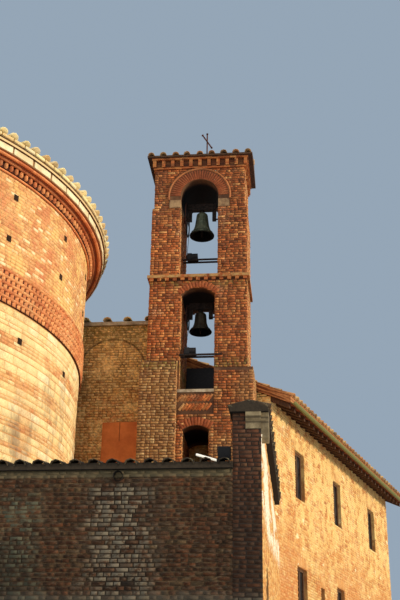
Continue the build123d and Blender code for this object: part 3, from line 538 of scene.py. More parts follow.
def roof_bed(finish, bed, soffit, rim=None, streaks=None):
    """The roof's body: bedding above, what is seen from below and the hall's eave edge."""
    patch = finish.noise(6.0, 4.0, 0.6)
    grit = finish.noise(21.0, 4.0, 0.8).rise(0.3, 0.7)
    upper = finish.scaled(bed, 0.45 + patch * 0.6 + grit * 0.5)
    lower = finish.scaled(soffit, 0.6 + finish.noise(4.0, 3.0, 0.6) * 0.8)
    if streaks:
        upper = finish.mix(verge_streaks(finish), streaks, upper)
    if rim:
        upper = finish.mix(finish.z.rise(HALL_BAND[1] + 0.04, HALL_BAND[1] + 0.06), rim, upper)
    finish.colour = finish.mix(finish.facing_up().fall(-0.6, -0.4), upper, lower)
    finish.done(0.93, patch)


def bell_bronze(finish, light, dark, green):
    """Old bell bronze: patina, dark streaks, a faint gloss, and painted shade inside the bell."""
    streak = finish.noise(5.0, 5.0, 0.65, (1.6, 1.6, 0.5))
    finish.colour = finish.ramp(streak.rise(0.3, 0.7), (dark, light))
    finish.stain(finish.noise(14.0, 4.0, 0.7).rise(0.50, 0.66) * 0.5, green)
    # Painted shade: faces turned downwards, inside the bell, go black and dull.
    inside_shade = finish.own_normal(2).fall(-0.12, 0.0)
    finish.stain(inside_shade, (8, 7, 6))
    finish.done(0.46 + streak * 0.3 + inside_shade * 0.3, finish.noise(60.0, 3.0, 0.6), 0.002,
                metallic=0.45 - inside_shade * 0.45, specular=0.2)


def rusted_iron(finish, rust, dark):
    """Rusty iron with darker scale."""
    patch = finish.noise(22.0, 5.0, 0.7)
    finish.colour = finish.ramp(patch.rise(0.35, 0.65), (dark, rust))
    finish.done(0.75, patch, 0.002, metallic=0.25)


def chalky_paint(finish, plain, wear, roughness=0.55):
    """Painted metal with chalky wear."""
    finish.colour = finish.mix(finish.noise(18.0, 4.0, 0.7).rise(0.52, 0.68) * 0.6, plain, wear)
    finish.done(roughness, finish.noise(45.0, 2.0, 0.5), 0.001)


def floodlight_paint(finish):
    """The floodlight's dark body and, left of it, the white tube, which glows as painted sunlight."""
    tube = finish.x.fall(1.065, 1.075)
    finish.colour = finish.mix(tube, (34, 32, 32), (244, 238, 222))
    # Painted light: the tube glows to stand for the sunlight on it.
    painted_glow = finish.scaled((255, 246, 222), tube)
    finish.done(0.5, finish.noise(45.0, 2.0, 0.5), 0.001, painted_glow=painted_glow)


def grained_wood(finish, light, dark):
    """Old wood with its grain running up or along."""
    grain = finish.noise(9.0, 5.0, 0.65, (6.0, 6.0, 0.7))
    finish.colour = finish.ramp(grain.rise(0.3, 0.7), (dark, light))
    finish.done(0.8, grain, 0.003)


def painted_board(finish):
    """A terracotta painted board, faded in clouds, with an upright seam and buckles."""
    cloud = finish.noise(1.9, 4.0, 0.6)
    finish.colour = finish.ramp(cloud.rise(0.3, 0.7), ((188, 98, 42), (222, 128, 62)))
    fine = finish.noise(40.0, 3.0, 0.7)
    finish.shade(0.88 + fine * 0.24)
    seam = (finish.x + 1.845).size().fall(0.004, 0.016) * finish.z.rise(7.40, 7.46)
    finish.stain(seam * 0.7, (92, 44, 20))
    buckle = finish.noise(2.4, 3.0, 0.5, (1.0, 1.0, 1.6))
    finish.done(0.7, buckle + fine * 0.02 - seam * 0.1, 0.05, 0.8)


def dusty_glass(finish):
    """Dark window glass with a little dust."""
    dust = finish.noise(7.0, 4.0, 0.6)
    finish.colour = finish.ramp(dust.rise(0.35, 0.75), ((20, 20, 22), (58, 56, 54)))
    finish.done(0.18 + dust * 0.25, specular=0.5)


def plastered_brick(finish, plaster, brick):
    """Lit side wall: brick colour under patches of white plaster, below the coping."""
    finish.colour = finish.ramp(finish.tone(), brick)
    finish.shade(0.74 + finish.noise(9.0, 4.0, 0.6) * 0.52)
    ragged = finish.noise(2.4, 5.0, 0.7)
    high = (finish.z + ragged * 1.0 - finish.y.rise(-6.0, 0.7) * 0.7).rise(4.3, 4.6)
    high = high * finish.z.fall(5.10, 5.20)
    patch = high * finish.noise(1.5, 5.0, 0.65, (1.0, 0.4, 1.6)).rise(0.43, 0.48)
    finish.stain(patch, plaster)
    specks = finish.noise(9.0, 3.0, 0.6, (1.0, 0.3, 1.0)).rise(0.66, 0.70)
    finish.stain(specks * 0.7, (110, 72, 48))
    finish.done(0.9, finish.noise(60.0, 3.0, 0.7) + patch * 1.5, 0.006)


TOWER_TONES = ((126, 66, 35), (166, 90, 45), (186, 104, 54), (150, 82, 43),
               (196, 124, 66), (114, 64, 38), (162, 94, 49), (206, 146, 86))
ARCH_TONES = ((146, 76, 42), (162, 88, 50), (134, 68, 39))
LABEL_TONES = ((182, 112, 66), (182, 112, 66))
HALL_TONES = ((212, 138, 86), (228, 166, 104), (236, 182, 116), (222, 154, 100),
              (240, 204, 138), (244, 216, 156), (236, 196, 132), (250, 230, 182))
DRUM_TONES = ((206, 138, 88), (226, 168, 104), (236, 184, 116), (218, 154, 102),
              (240, 200, 134), (230, 176, 116), (246, 216, 158), (200, 128, 84))
# Partly painted light: the mouldings' tones are raised to stand for the warm light on them below the eave.
MOULDING_TONES = ((222, 134, 82), (238, 156, 98), (206, 116, 70))
TOOTH_TONES = ((214, 132, 80), (232, 160, 100), (196, 112, 68))
WING_TONES = ((196, 126, 68), (216, 156, 88), (228, 182, 110), (206, 142, 78), (236, 200, 132),
              (184, 114, 66))
# The front wall's tones are dark partly as painted shade and partly as dirty brick.
DARK_TONES = ((58, 37, 20), (74, 43, 22), (62, 41, 23), (86, 49, 25), (60, 39, 21), (80, 61, 38))
# Painted light: the link wall's tones are paler than its brick, to make up for the tower's shadow over it.
LINK_TONES = ((194, 152, 86), (218, 178, 106), (206, 162, 94), (232, 198, 128), (180, 132, 76))
TILE_TONES = ((154, 100, 62), (184, 128, 80), (132, 98, 68), (202, 160, 104), (164, 118, 78))
EAVE_TONES = ((232, 206, 140), (246, 226, 168), (214, 176, 116), (250, 236, 188))
COPING_TONES = ((52, 42, 32), (72, 56, 40), (42, 36, 30), (92, 76, 54))

# Each finish: the function that builds it, and its colours, weathering and painted light and shade
MAKERS = {
    "tower_brick": (fired_brick, TOWER_TONES, (202, 168, 128), (62, 40, 28), 0.56, tower_weather_and_light),
    "voussoir_brick": (fired_brick, ARCH_TONES, (186, 122, 74), (84, 46, 30)),
    "label_brick": (fired_brick, LABEL_TONES, (206, 152, 98), (116, 68, 42)),
    "hall_brick": (fired_brick, HALL_TONES, (248, 230, 182), (190, 138, 90), 0.46, hall_weather),
    "drum_brick": (fired_brick, DRUM_TONES, (242, 214, 152), (196, 124, 84), 0.44, drum_weather),
    "hall_teeth": (fired_brick, TOOTH_TONES, (244, 208, 148), (150, 90, 56)),
    "wing_brick": (fired_brick, WING_TONES, (252, 226, 172), (206, 146, 88), 0.48, wing_weather),
    "dark_brick": (fired_brick, DARK_TONES, (120, 110, 92), (36, 30, 24), 0.62, front_wall_weather_and_shade),
    "link_brick": (fired_brick, LINK_TONES, (206, 178, 128), (104, 78, 42), 0.5, link_weather_and_shade),
    "side_brick": (plastered_brick, (246, 234, 206), WING_TONES),
    "tower_mortar": (lime_mortar, (118, 82, 54), (72, 46, 32), mortar_sunlit_side),
    "arch_mortar": (lime_mortar, (118, 82, 54), (72, 46, 32), arch_shade),
    "hall_mortar": (lime_mortar, (222, 174, 112), (186, 130, 80), hall_courses),
    "wing_mortar": (lime_mortar, (214, 166, 102), (168, 112, 64), wing_weather),
    "dark_mortar": (lime_mortar, (96, 74, 50), (58, 42, 27), front_wall_weather_and_shade),
    "link_mortar": (lime_mortar, (176, 138, 84), (110, 78, 46), link_weather_and_shade),
    "side_mortar": (lime_mortar, (226, 186, 126), (180, 132, 84), side_shade),
    # Painted shade for the putlog holes.
    "putlog_shade": (lime_mortar, (66, 42, 24), (34, 22, 14)),
    "tower_courses": (moulded_courses, TOWER_TONES, (96, 66, 46), 0.075, 0.064, tooth_weather_and_shade),
    "hall_moulding": (moulded_courses, MOULDING_TONES, (150, 84, 52), 0.12, 0.08),
    "band_stone": (dressed_stone, (250, 230, 186), (222, 194, 146)),
    "pale_stone": (dressed_stone, (196, 182, 150), (128, 112, 88)),
    "moulded_stone": (dressed_stone, (176, 156, 118), (108, 92, 66), None,
                      (PIER_TOP - 0.08, PIER_TOP - 0.15)),
    "impost_stone": (dressed_stone, (178, 142, 100), (96, 68, 48)),
    "sill_stone": (dressed_stone, (206, 190, 160), (140, 118, 92), (118, 108, 54)),
    "screed": (dressed_stone, (150, 146, 138), (118, 114, 106)),
    "roof_tile": (fired_tile, TILE_TONES, (206, 190, 140), (76, 60, 46)),
    "eave_tile": (fired_tile, EAVE_TONES, (240, 226, 176), (120, 84, 54)),
    "coping_tile": (fired_tile, COPING_TONES, (142, 130, 96), (40, 34, 28)),
    "roof_bed": (roof_bed, (96, 70, 50), (70, 50, 38)),
    "wing_bed": (roof_bed, (196, 134, 80), (112, 56, 34), None, (92, 44, 24)),
    "eave_bed": (roof_bed, (112, 82, 58), (126, 88, 58), (222, 188, 134)),
    "dark_bed": (roof_bed, (58, 48, 36), (34, 28, 22)),
    "upper_bronze": (bell_bronze, (112, 116, 92), (62, 66, 50), (138, 150, 122)),
    "lower_bronze": (bell_bronze, (74, 62, 46), (36, 30, 24), (88, 92, 70)),
    "rusty_iron": (rusted_iron, (112, 58, 36), (46, 30, 24)),
    "dark_iron": (rusted_iron, (62, 48, 40), (26, 22, 20)),
    "dark_paint": (chalky_paint, (30, 27, 25), (52, 46, 42)),
    "lamp_paint": (chalky_paint, (34, 32, 32), (60, 58, 56), 0.5),
    "gutter_metal": (chalky_paint, (110, 110, 56), (142, 136, 78), 0.6),
    "flood_paint": (floodlight_paint,),
    "old_wood": (grained_wood, (98, 66, 44), (50, 34, 24)),
    "frame_wood": (grained_wood, (112, 78, 50), (66, 44, 30)),
    "board_paint": (painted_board,),
    "window_glass": (dusty_glass,),
}

# The CAD nodes that wear each finish
NODE_FINISHES = {
    "tower_mortar": "tower_left_pier tower_right_pier tower_bay_foot belfry_piers_lower belfry_piers_upper",
    "arch_mortar": "tower_bay_arch middle_arch upper_arch_left upper_arch_right",
    "tower_courses": "string_course cornice",
    "sill_stone": "middle_sill",
    "impost_stone": "imposts",
    "pale_stone": "link_coping",
    "moulded_stone": "pier_stones",
    "hall_mortar": "hall_walls_side hall_walls_right_back hall_walls_front_back hall_walls_right_front",
    "roof_bed": "tower_roof hall_cap lean_to_roof",
    "eave_bed": "hall_roof_a hall_roof_b",
    "dark_bed": "front_coping side_coping",
    "wing_bed": "wing_roof_front wing_roof_back",
    "upper_bronze": "upper_bell",
    "lower_bronze": "lower_bell",
    "rusty_iron": "cross drive_chains bearings",
    "dark_iron": "upper_headstock lower_headstock upper_wheel lower_wheel upper_clapper lower_clapper "
                 "drive_bars",
    "dark_paint": "motors opening_guard",
    "old_wood": "hall_door wing_door wing_rafters",
    "frame_wood": "wing_window_frames",
    "board_paint": "shutter_board",
    "lamp_paint": "wall_lamp",
    "flood_paint": "floodlight",
    "link_mortar": "link_wall",
    "dark_mortar": "front_wall",
    "side_mortar": "side_wall",
    "wing_mortar": "wing_wall_piers wing_wall_panels wing_near_gable wing_far_gable",
    "screed": "wing_floors",
    "gutter_metal": "wing_gutters",
    "window_glass": "wing_window_glass",
}

FINISHES = {}


def finish_of(name):
    """The material of that name, made once."""
    if name not in FINISHES:
        maker, *looks = MAKERS[name]
        finish = Finish(name)
        maker(finish, *looks)
        FINISHES[name] = finish.material
    return FINISHES[name]


# Modelling by hand, in edit mode


def clear_selection():
    bpy.ops.object.select_all(action="DESELECT")


@contextmanager
def edited(everything=False):
    """Edit mode on the active object, and object mode again afterwards."""
    bpy.ops.object.mode_set(mode="EDIT")
    if everything:
        bpy.ops.mesh.select_all(action="SELECT")
    yield
    bpy.ops.object.mode_set(mode="OBJECT")


def pick(test):
    """Selects the faces of the edited mesh for which test(face) holds."""
    mesh = bmesh.from_edit_mesh(bpy.context.object.data)
    bpy.ops.mesh.select_mode(type="FACE")
    for face in mesh.faces:
        face.select_set(bool(test(face)))
    bmesh.update_edit_mesh(bpy.context.object.data)


def pick_points(test):
    """Selects the points of the edited mesh for which test(point) holds."""
    bpy.ops.mesh.select_mode(type="VERT")
    mesh = bmesh.from_edit_mesh(bpy.context.object.data)
    for face in mesh.faces:
        face.select_set(False)
    for point in mesh.verts:
        point.select_set(bool(test(point.co)))
    mesh.select_flush(True)
    bmesh.update_edit_mesh(bpy.context.object.data)


def taken():
    """The points and faces of the finished prototype, which is then removed."""
    made = bpy.context.object
    points = np.array([list(made.matrix_world @ v.co) for v in made.data.vertices])
    faces = [tuple(polygon.vertices) for polygon in made.data.polygons]
    bpy.data.objects.remove(made)
    return points, faces


def add_cube():
    """A cube one unit each way, its back on the plane Y = 0."""
    clear_selection()
    bpy.ops.mesh.primitive_cube_add(size=1, location=(0, -0.5, 0))
    bpy.ops.object.transform_apply(location=True)


def brick_shape():
    """A brick one unit long and high whose worn face stands one unit out, towards -Y."""
    add_cube()
    with edited():
        pick(lambda face: face.normal.y > 0.9)
        bpy.ops.mesh.delete(type="FACE")
        pick(lambda face: face.normal.y < -0.9)
        bpy.ops.transform.resize(value=(0.97, 1, 0.86), center_override=(0, -1, 0))
    return taken()


def block_shape():
    """A box one unit each way, standing out towards -Y, with softened front edges."""
    add_cube()
    with edited():
        pick(lambda face: face.normal.y < -0.9)
        bpy.ops.mesh.inset(thickness=0.04, depth=0.0)
        bpy.ops.transform.translate(value=(0, -0.06, 0))
    return taken()


def tooth_shape():
    """A brick set cornerwise: a three-sided prism with one edge out, towards -Y."""
    clear_selection()
    bpy.ops.mesh.primitive_cylinder_add(vertices=4, radius=0.7071, depth=1)
    with edited(everything=True):
        bpy.ops.mesh.bisect(plane_co=(0, 0, 0), plane_no=(0, 1, 0), clear_outer=True)
    return taken()


def tile_shape():
    """A half-round tapered roof tile, one unit wide and long, its wide end towards -Y."""
    clear_selection()
    bpy.ops.mesh.primitive_cylinder_add(vertices=8, radius=0.5, depth=1, end_fill_type="NOTHING",
                                        rotation=(math.pi / 2, 0, 0))
    bpy.ops.object.transform_apply(rotation=True)
    with edited(everything=True):
        bpy.ops.mesh.bisect(plane_co=(0, 0, 0), plane_no=(0, 0, 1), clear_inner=True)
        pick_points(lambda co: co.y > 0.4)
        bpy.ops.transform.resize(value=(0.78, 1, 0.78), center_override=(0, 0.5, 0))
    wall = bpy.context.object.modifiers.new("wall", "SOLIDIFY")
    wall.thickness = 0.08
    wall.offset = -1
    bpy.ops.object.modifier_apply(modifier="wall")
    return taken()


def add_ring(radius, size, segments, sides, place, stretch=1.0, turn=0.0):
    """A ring about a place, flat or turned upright, with its section stretched in height."""
    clear_selection()
    bpy.ops.mesh.primitive_torus_add(major_radius=radius, minor_radius=size, major_segments=segments,
                                     minor_segments=sides, rotation=(turn, 0, 0), location=place)
    if stretch != 1.0:
        with edited(everything=True):
            bpy.ops.transform.resize(value=(1, 1, stretch), center_override=place)


SHAPES = {}


def shape_of(maker):
    """A prototype, modelled once."""
    if maker not in SHAPES:
        SHAPES[maker] = maker()
    return SHAPES[maker]


def spread(name, maker, rows, finish, body="building"):
    """One mesh with a copy of the shape for each row: middle, three axes and tone."""
    points, faces = shape_of(maker)
    middles = np.array([row[0] for row in rows])
    axes = np.array([row[1] for row in rows])
    tones = np.array([row[2] for row in rows], dtype=np.float32)
    placed = middles[:, None, :] + np.einsum("pk,nkj->npj", points, axes)
    count = len(rows)
    corners = np.array([corner for face in faces for corner in face], dtype=np.int32)
    sizes = np.array([len(face) for face in faces], dtype=np.int32)
    starts = np.concatenate(([0], np.cumsum(sizes)[:-1])).astype(np.int32)
    all_corners = (corners[None, :] + (np.arange(count) * len(points))[:, None]).ravel()
    all_starts = (starts[None, :] + (np.arange(count) * len(corners))[:, None]).ravel()
    mesh = bpy.data.meshes.new(name)
    mesh.vertices.add(count * len(points))
    mesh.vertices.foreach_set("co", placed.astype(np.float32).ravel())
    mesh.loops.add(len(all_corners))
    mesh.loops.foreach_set("vertex_index", all_corners.astype(np.int32))
    mesh.polygons.add(count * len(faces))
    mesh.polygons.foreach_set("loop_start", all_starts.astype(np.int32))
    mesh.update(calc_edges=True)
    mesh.attributes.new("tone", "FLOAT", "POINT").data.foreach_set("value", np.repeat(tones, len(points)))
    piece = bpy.data.objects.new(name, mesh)
    bpy.context.scene.collection.objects.link(piece)
    return dress(piece, finish, body)


def dress(piece, finish, body="building"):
    """Gives a piece its material and the body that it rides on."""
    piece.data.materials.clear()
    piece.data.materials.append(finish_of(finish))
    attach(piece, body)
    return piece


def settle(name):
    """Names the piece being modelled and puts its place into its mesh."""
    piece = bpy.context.object
    piece.name = name
    piece.data.name = name
    bpy.ops.object.transform_apply(location=True, rotation=True, scale=True)
    return piece


# Brick laying


def arc(half, rise):
    """The radius of an arch from its half width and rise, and half the angle it turns."""
    radius = (half * half + rise * rise) / (2 * rise)
    return radius, math.asin(min(1.0, half / radius))


class Wall:
    """A flat wall face from start to end, with its outside on the right of that way."""

    def __init__(self, start, end, low, high, gaps=(), top=None):
        self.start = np.array([start[0], start[1], 0.0])
        way = np.array([end[0], end[1], 0.0]) - self.start
        self.length = float(np.linalg.norm(way))
        self.along = way / self.length
        self.out = np.cross(self.along, UP)
        self.low = low
        self.high = high
        self.gaps = gaps
        self.top = top

    def spans(self, z):
        """The stretches of wall at a height, between the openings."""
        ends = self.top(z) if self.top else (0.0, self.length)
        cuts = sorted(cut for cut in (gap_at(gap, z) for gap in self.gaps) if cut)
        found = []
        at = ends[0]
        for low, high in cuts:
            if low > at:
                found.append((at, min(low, ends[1])))
            at = max(at, high)
        if at < ends[1]:
            found.append((at, ends[1]))
        return found


def gap_at(gap, z):
    """Where an opening (from, to, sill, spring, rise) cuts a course at a height."""
    start, end, sill, spring, rise = gap
    if sill <= z <= spring:
        return start, end
    if not spring < z < spring + rise:
        return None
    radius = arc((end - start) / 2, rise)[0]
    up = z - (spring + rise - radius)
    reach = math.sqrt(max(0.0, radius * radius - up * up))
    return (start + end) / 2 - reach, (start + end) / 2 + reach


def brick_rows(wall, draw, sizes):
    """Bricks laid in courses over a wall face."""
    courses = max(1, round((wall.high - wall.low) / sizes.course))
    pitch = (wall.high - wall.low) / courses
    rows = []
    for course in range(courses):
        z = wall.low + (course + 0.5) * pitch
        for start, end in wall.spans(z):
            at = start - (0.5 * sizes.brick if course % 2 else 0.0) - 0.1 * sizes.brick * draw.random()
            while at < end:
                header = draw.random() < 0.5
                length = sizes.brick * (0.5 if header else 1.0) * (1.0 + 0.08 * (draw.random() - 0.5))
                low = max(at, start)
                high = min(at + length, end)
                proud = sizes.proud * (0.5 + draw.random())
                slant = 0.008 * (draw.random() - 0.5)
                tone = draw.random()
                at += length + sizes.joint
                if high - low < SHORTEST:
                    continue
                middle = wall.start + wall.along * (low + high) / 2 + UP * z - wall.out * BRICK_SINK
                axes = ((wall.along + UP * slant) * (high - low), -wall.out * (proud + BRICK_SINK),
                        (UP - wall.along * slant) * (pitch - sizes.joint))
                rows.append((middle, axes, tone))
    return rows


def lay_walls(name, walls, draw, sizes, finish):
    """Bricks over several wall faces, as one piece."""
    rows = [row for wall in walls for row in brick_rows(wall, draw, sizes)]
    spread(name, brick_shape, rows, finish)


def four_walls(x, y, low, high, gaps):
    """Front, right, back and left face of a block, with gaps in its front and its back."""
    return [Wall((-x, -y), (x, -y), low, high, gaps), Wall((x, -y), (x, y), low, high),
            Wall((x, y), (-x, y), low, high, gaps), Wall((-x, y), (-x, -y), low, high)]


def around(angle, radius, z):
    """A point, the way along and the way out on the hall's circle; angle 0 faces the front."""
    out = np.array([math.sin(angle), -math.cos(angle), 0.0])
    along = np.array([math.cos(angle), math.sin(angle), 0.0])
    return np.array([*HALL, z]) + out * radius, along, out


def ring_rows(count, radius, z, sides, draw, first=0.0):
    """Equal pieces round the hall: along, out and up; first is the first one's place in steps."""
    rows = []
    for index in range(count):
        point, along, out = around(2 * math.pi * (index + first) / count, radius, z)
        rows.append((point, (along * sides[0], -out * sides[1], UP * sides[2]), draw.random()))
    return rows


def hall_edge(y):
    """Where the hall's wall face is along X, at a place along Y."""
    return HALL[0] + math.sqrt(HALL_RADIUS ** 2 - (y - HALL[1]) ** 2)


def clear_of_door(middle, turn, z):
    """A piece's middle angle and width, cut back to the side of the hall's doorway."""
    if z > HALL_DOOR_HEIGHT:
        return middle, turn
    away = (middle - HALL_DOOR_ANGLE + math.pi) % (2 * math.pi) - math.pi
    edge = math.asin((HALL_DOOR_HALF + 0.02) / HALL_RADIUS)
    side = 1 if away > 0 else -1
    near = max(abs(away) - turn / 2, edge)
    far = abs(away) + turn / 2
    if far - near < 0.006:
        return None
    return HALL_DOOR_ANGLE + side * (near + far) / 2, far - near


def round_rows(low, high, radius, draw, sizes, stone_share):
    """Mixed brick and stone courses round the hall, with gaps at its doorway."""
    rows = []
    z = low
    while z < high - 0.03:
        stone = draw.random() < stone_share
        height = 0.12 + 0.07 * draw.random() if stone else sizes.course + 0.012
        height = min(height, high - z)
        mean = STONE_LENGTH if stone else sizes.brick
        angle = 2 * math.pi * draw.random()
        last = angle + 2 * math.pi
        while angle < last - 0.01:
            length = min(mean * (0.75 + 0.5 * draw.random()), (last - angle) * radius)
            turn = length / radius
            kept = clear_of_door(angle + turn / 2, turn, z)
            angle += turn
            if kept is None:
                continue
            point, along, out = around(kept[0], radius, z + height / 2)
            length = kept[1] * radius
            pale = stone or draw.random() < PALE_SHARE
            tone = 0.55 + 0.45 * draw.random() if pale else 0.5 * draw.random()
            proud = sizes.proud * (0.5 + draw.random())
            axes = (along * (length - sizes.joint), -out * (proud + STONE_SINK),
                    UP * (height - sizes.joint))
            rows.append((point - out * STONE_SINK, axes, tone))
        z += height
    return rows


def arch_rows(centre, radius, ring, reach, count, out, proud, draw):
    """Bricks set round an arch, pointing to its middle; reach is half its angle."""
    along = np.cross(UP, out)
    rows = []
    step = 2 * reach / count
    width = (radius + 0.35 * ring) * step - 0.004
    for index in range(count):
        angle = (index + 0.5) * step - reach
        ray = UP * math.cos(angle) + along * math.sin(angle)
        axes = (np.cross(ray, out) * width, -out * proud * (0.8 + 0.4 * draw.random()),
                ray * (ring - 0.012))
        rows.append((centre + ray * (radius + ring / 2), axes, draw.random()))
    return rows


def uphill(inward, pitch):
    """The way up a slope."""
    return inward * math.cos(pitch) + UP * math.sin(pitch)


def tile_rows(start, along, upslope, count, spacing, courses, exposure, draw, length=0.44, width=0.19):
    """Half-round tiles in rows up a slope, each a little askew; start is the first eave tile's middle."""
    normal = np.cross(along, upslope)
    rows = []
    for column in range(count):
        for course in range(courses):
            wobble = (draw.random() - 0.5) * 0.02
            at = start + along * (column * spacing + wobble) + upslope * (course * exposure + wobble)
            lift = normal * (0.012 + 0.008 * draw.random())
            lean = 0.02 + 0.01 * draw.random()
            yaw = 0.03 * (draw.random() - 0.5)
            axes = ((along + upslope * yaw) * width * (0.95 + 0.1 * draw.random()),
                    (upslope - along * yaw) * length - normal * lean, normal * width * 0.9)
            rows.append((at + upslope * length * 0.5 + lift, axes, draw.random()))
    return rows


# Sizes and colours that a user would change


class ChapelSizes(bpy.types.PropertyGroup):
    """Sizes of the repeated pieces."""

    course: bpy.props.FloatProperty(name="Course", description="Height of a brick course",
                                    default=0.064, unit="LENGTH")
    brick: bpy.props.FloatProperty(name="Brick", description="Length of a brick",
                                   default=0.18, unit="LENGTH")
    joint: bpy.props.FloatProperty(name="Joint", description="Width of a mortar joint",
                                   default=0.014, unit="LENGTH")
    proud: bpy.props.FloatProperty(name="Proud", description="How far bricks stand out of the mortar",
                                   default=0.009, unit="LENGTH")
    tile_spacing: bpy.props.FloatProperty(name="Tile spacing", description="Between roof tile rows",
                                          default=0.26, unit="LENGTH")
    tile_exposure: bpy.props.FloatProperty(name="Tile exposure", description="Between tile courses",
                                           default=0.36, unit="LENGTH")
    seed: bpy.props.IntProperty(name="Seed", description="Start of the random draws", default=7)


class ChapelColours(bpy.types.PropertyGroup):
    """Colours of the stage."""

    floor: bpy.props.FloatVectorProperty(name="Floor", description="Colour of the stage floor",
                                         default=(0.72, 0.71, 0.69), subtype="COLOR")
    backdrop: bpy.props.FloatVectorProperty(name="Backdrop", description="Colour behind the chapel",
                                            default=(0.30, 0.38, 0.47), subtype="COLOR")
    key: bpy.props.FloatVectorProperty(name="Key light", description="Colour of the key light",
                                       default=(1.0, 0.88, 0.70), subtype="COLOR")


class MakeStage(bpy.types.Operator):
    """Pale floor, soft lamps, plain backdrop and the camera"""

    bl_idname = "chapel.stage"
    bl_label = "Stage"

    eye = (2.36, -22.67, 0.30)
    yaw = math.radians(6.0)
    tilt = math.radians(24.9)
    roll = 0.0157
    lens = 62.82
    floor_half = 150.0

    def execute(self, context):
        colours = context.scene.chapel_colours
        clear_selection()
        bpy.ops.mesh.primitive_plane_add(size=2 * self.floor_half, location=(0, 0, -0.002))
        floor = settle("stage_floor")
        floor.data.materials.append(self.floor_finish(colours))
        self.add_lamp("key_lamp", tuple(colours.key), swing=12, height=7, strength=3.0, softness=0.12)
        self.add_lamp("fill_lamp", (0.92, 0.95, 1.0), swing=110, height=32, strength=0.5, softness=0.8)
        self.add_world(context, colours)
        self.add_camera(context)
        context.scene.view_settings.view_transform = "Standard"
        return {"FINISHED"}

    def floor_finish(self, colours):
        finish = Finish("stage_floor")
        grain = finish.noise(0.7, 3.0, 0.5)
        sockets = {0: tuple(colours.floor), "Scale": 0.97 + grain * 0.06}
        finish.colour = finish.node("ShaderNodeVectorMath", {"operation": "SCALE"}, sockets)
        finish.done(0.95, specular=0.1)
        return finish.material

    def add_lamp(self, name, colour, swing, height, strength, softness):
        """A sun lamp seen from the chapel at swing degrees from the right towards the front."""
        swing, height = math.radians(swing), math.radians(height)
        lamp = bpy.data.lights.new(name, "SUN")
        lamp.energy = strength
        lamp.angle = softness
        lamp.color = colour
        holder = bpy.data.objects.new(name, lamp)
        towards = Vector((math.cos(swing) * math.cos(height), -math.sin(swing) * math.cos(height),
                          math.sin(height)))
        holder.rotation_euler = towards.to_track_quat("Z", "Y").to_euler()
        bpy.context.scene.collection.objects.link(holder)

    def add_world(self, context, colours):
        """Soft light all round, and the backdrop for what the camera sees or mirrors."""
        world = bpy.data.worlds.new("studio")
        world.use_nodes = True
        nodes = world.node_tree.nodes
        links = world.node_tree.links
        nodes.clear()
        path = nodes.new("ShaderNodeLightPath")
        mixed = nodes.new("ShaderNodeMixShader")
        seen = path.outputs["Is Camera Ray"]
        for ray in ("Is Glossy Ray", "Is Transmission Ray"):
            either = nodes.new("ShaderNodeMath")
            either.operation = "MAXIMUM"
            links.new(seen, either.inputs[0])
            links.new(path.outputs[ray], either.inputs[1])
            seen = either.outputs[0]
        links.new(seen, mixed.inputs[0])
        grounds = (((0.86, 0.93, 1.0, 1.0), 0.70), ((*colours.backdrop, 1.0), 1.0))
        for index, (colour, strength) in enumerate(grounds, 1):
            ground = nodes.new("ShaderNodeBackground")
            ground.inputs["Color"].default_value = colour
            ground.inputs["Strength"].default_value = strength
            links.new(ground.outputs[0], mixed.inputs[index])
        output = nodes.new("ShaderNodeOutputWorld")
        links.new(mixed.outputs[0], output.inputs["Surface"])
        context.scene.world = world

    def add_camera(self, context):
        side = Vector((math.cos(self.yaw), math.sin(self.yaw), 0))
        ahead = Vector((-math.sin(self.yaw), math.cos(self.yaw), 0))
        look = ahead * math.cos(self.tilt) + Vector((0, 0, 1)) * math.sin(self.tilt)
        above = -ahead * math.sin(self.tilt) + Vector((0, 0, 1)) * math.cos(self.tilt)
        x_axis = (side + above * self.roll).normalized()
        y_axis = (above - side * self.roll).normalized()
        camera = bpy.data.cameras.new("camera")
        camera.lens = self.lens
        camera.sensor_width = 36.0
        camera.clip_end = 400.0
        holder = bpy.data.objects.new("camera", camera)
        turn = Matrix((x_axis, y_axis, -look)).transposed().to_4x4()
        holder.matrix_world = Matrix.Translation(self.eye) @ turn
        context.scene.collection.objects.link(holder)
        context.scene.camera = holder


class FinishNodes(bpy.types.Operator):
    """Gives every CAD node its material"""

    bl_idname = "chapel.nodes"
    bl_label = "Finish the frame"

    def execute(self, context):
        left = set(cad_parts)
        for finish, names in NODE_FINISHES.items():
            for name in names.split():
                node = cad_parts[name]
                node.data.materials.clear()
                node.data.materials.append(finish_of(finish))
                left.discard(name)
        if left:
            raise RuntimeError(f"nodes without a finish: {sorted(left)}")
        return {"FINISHED"}


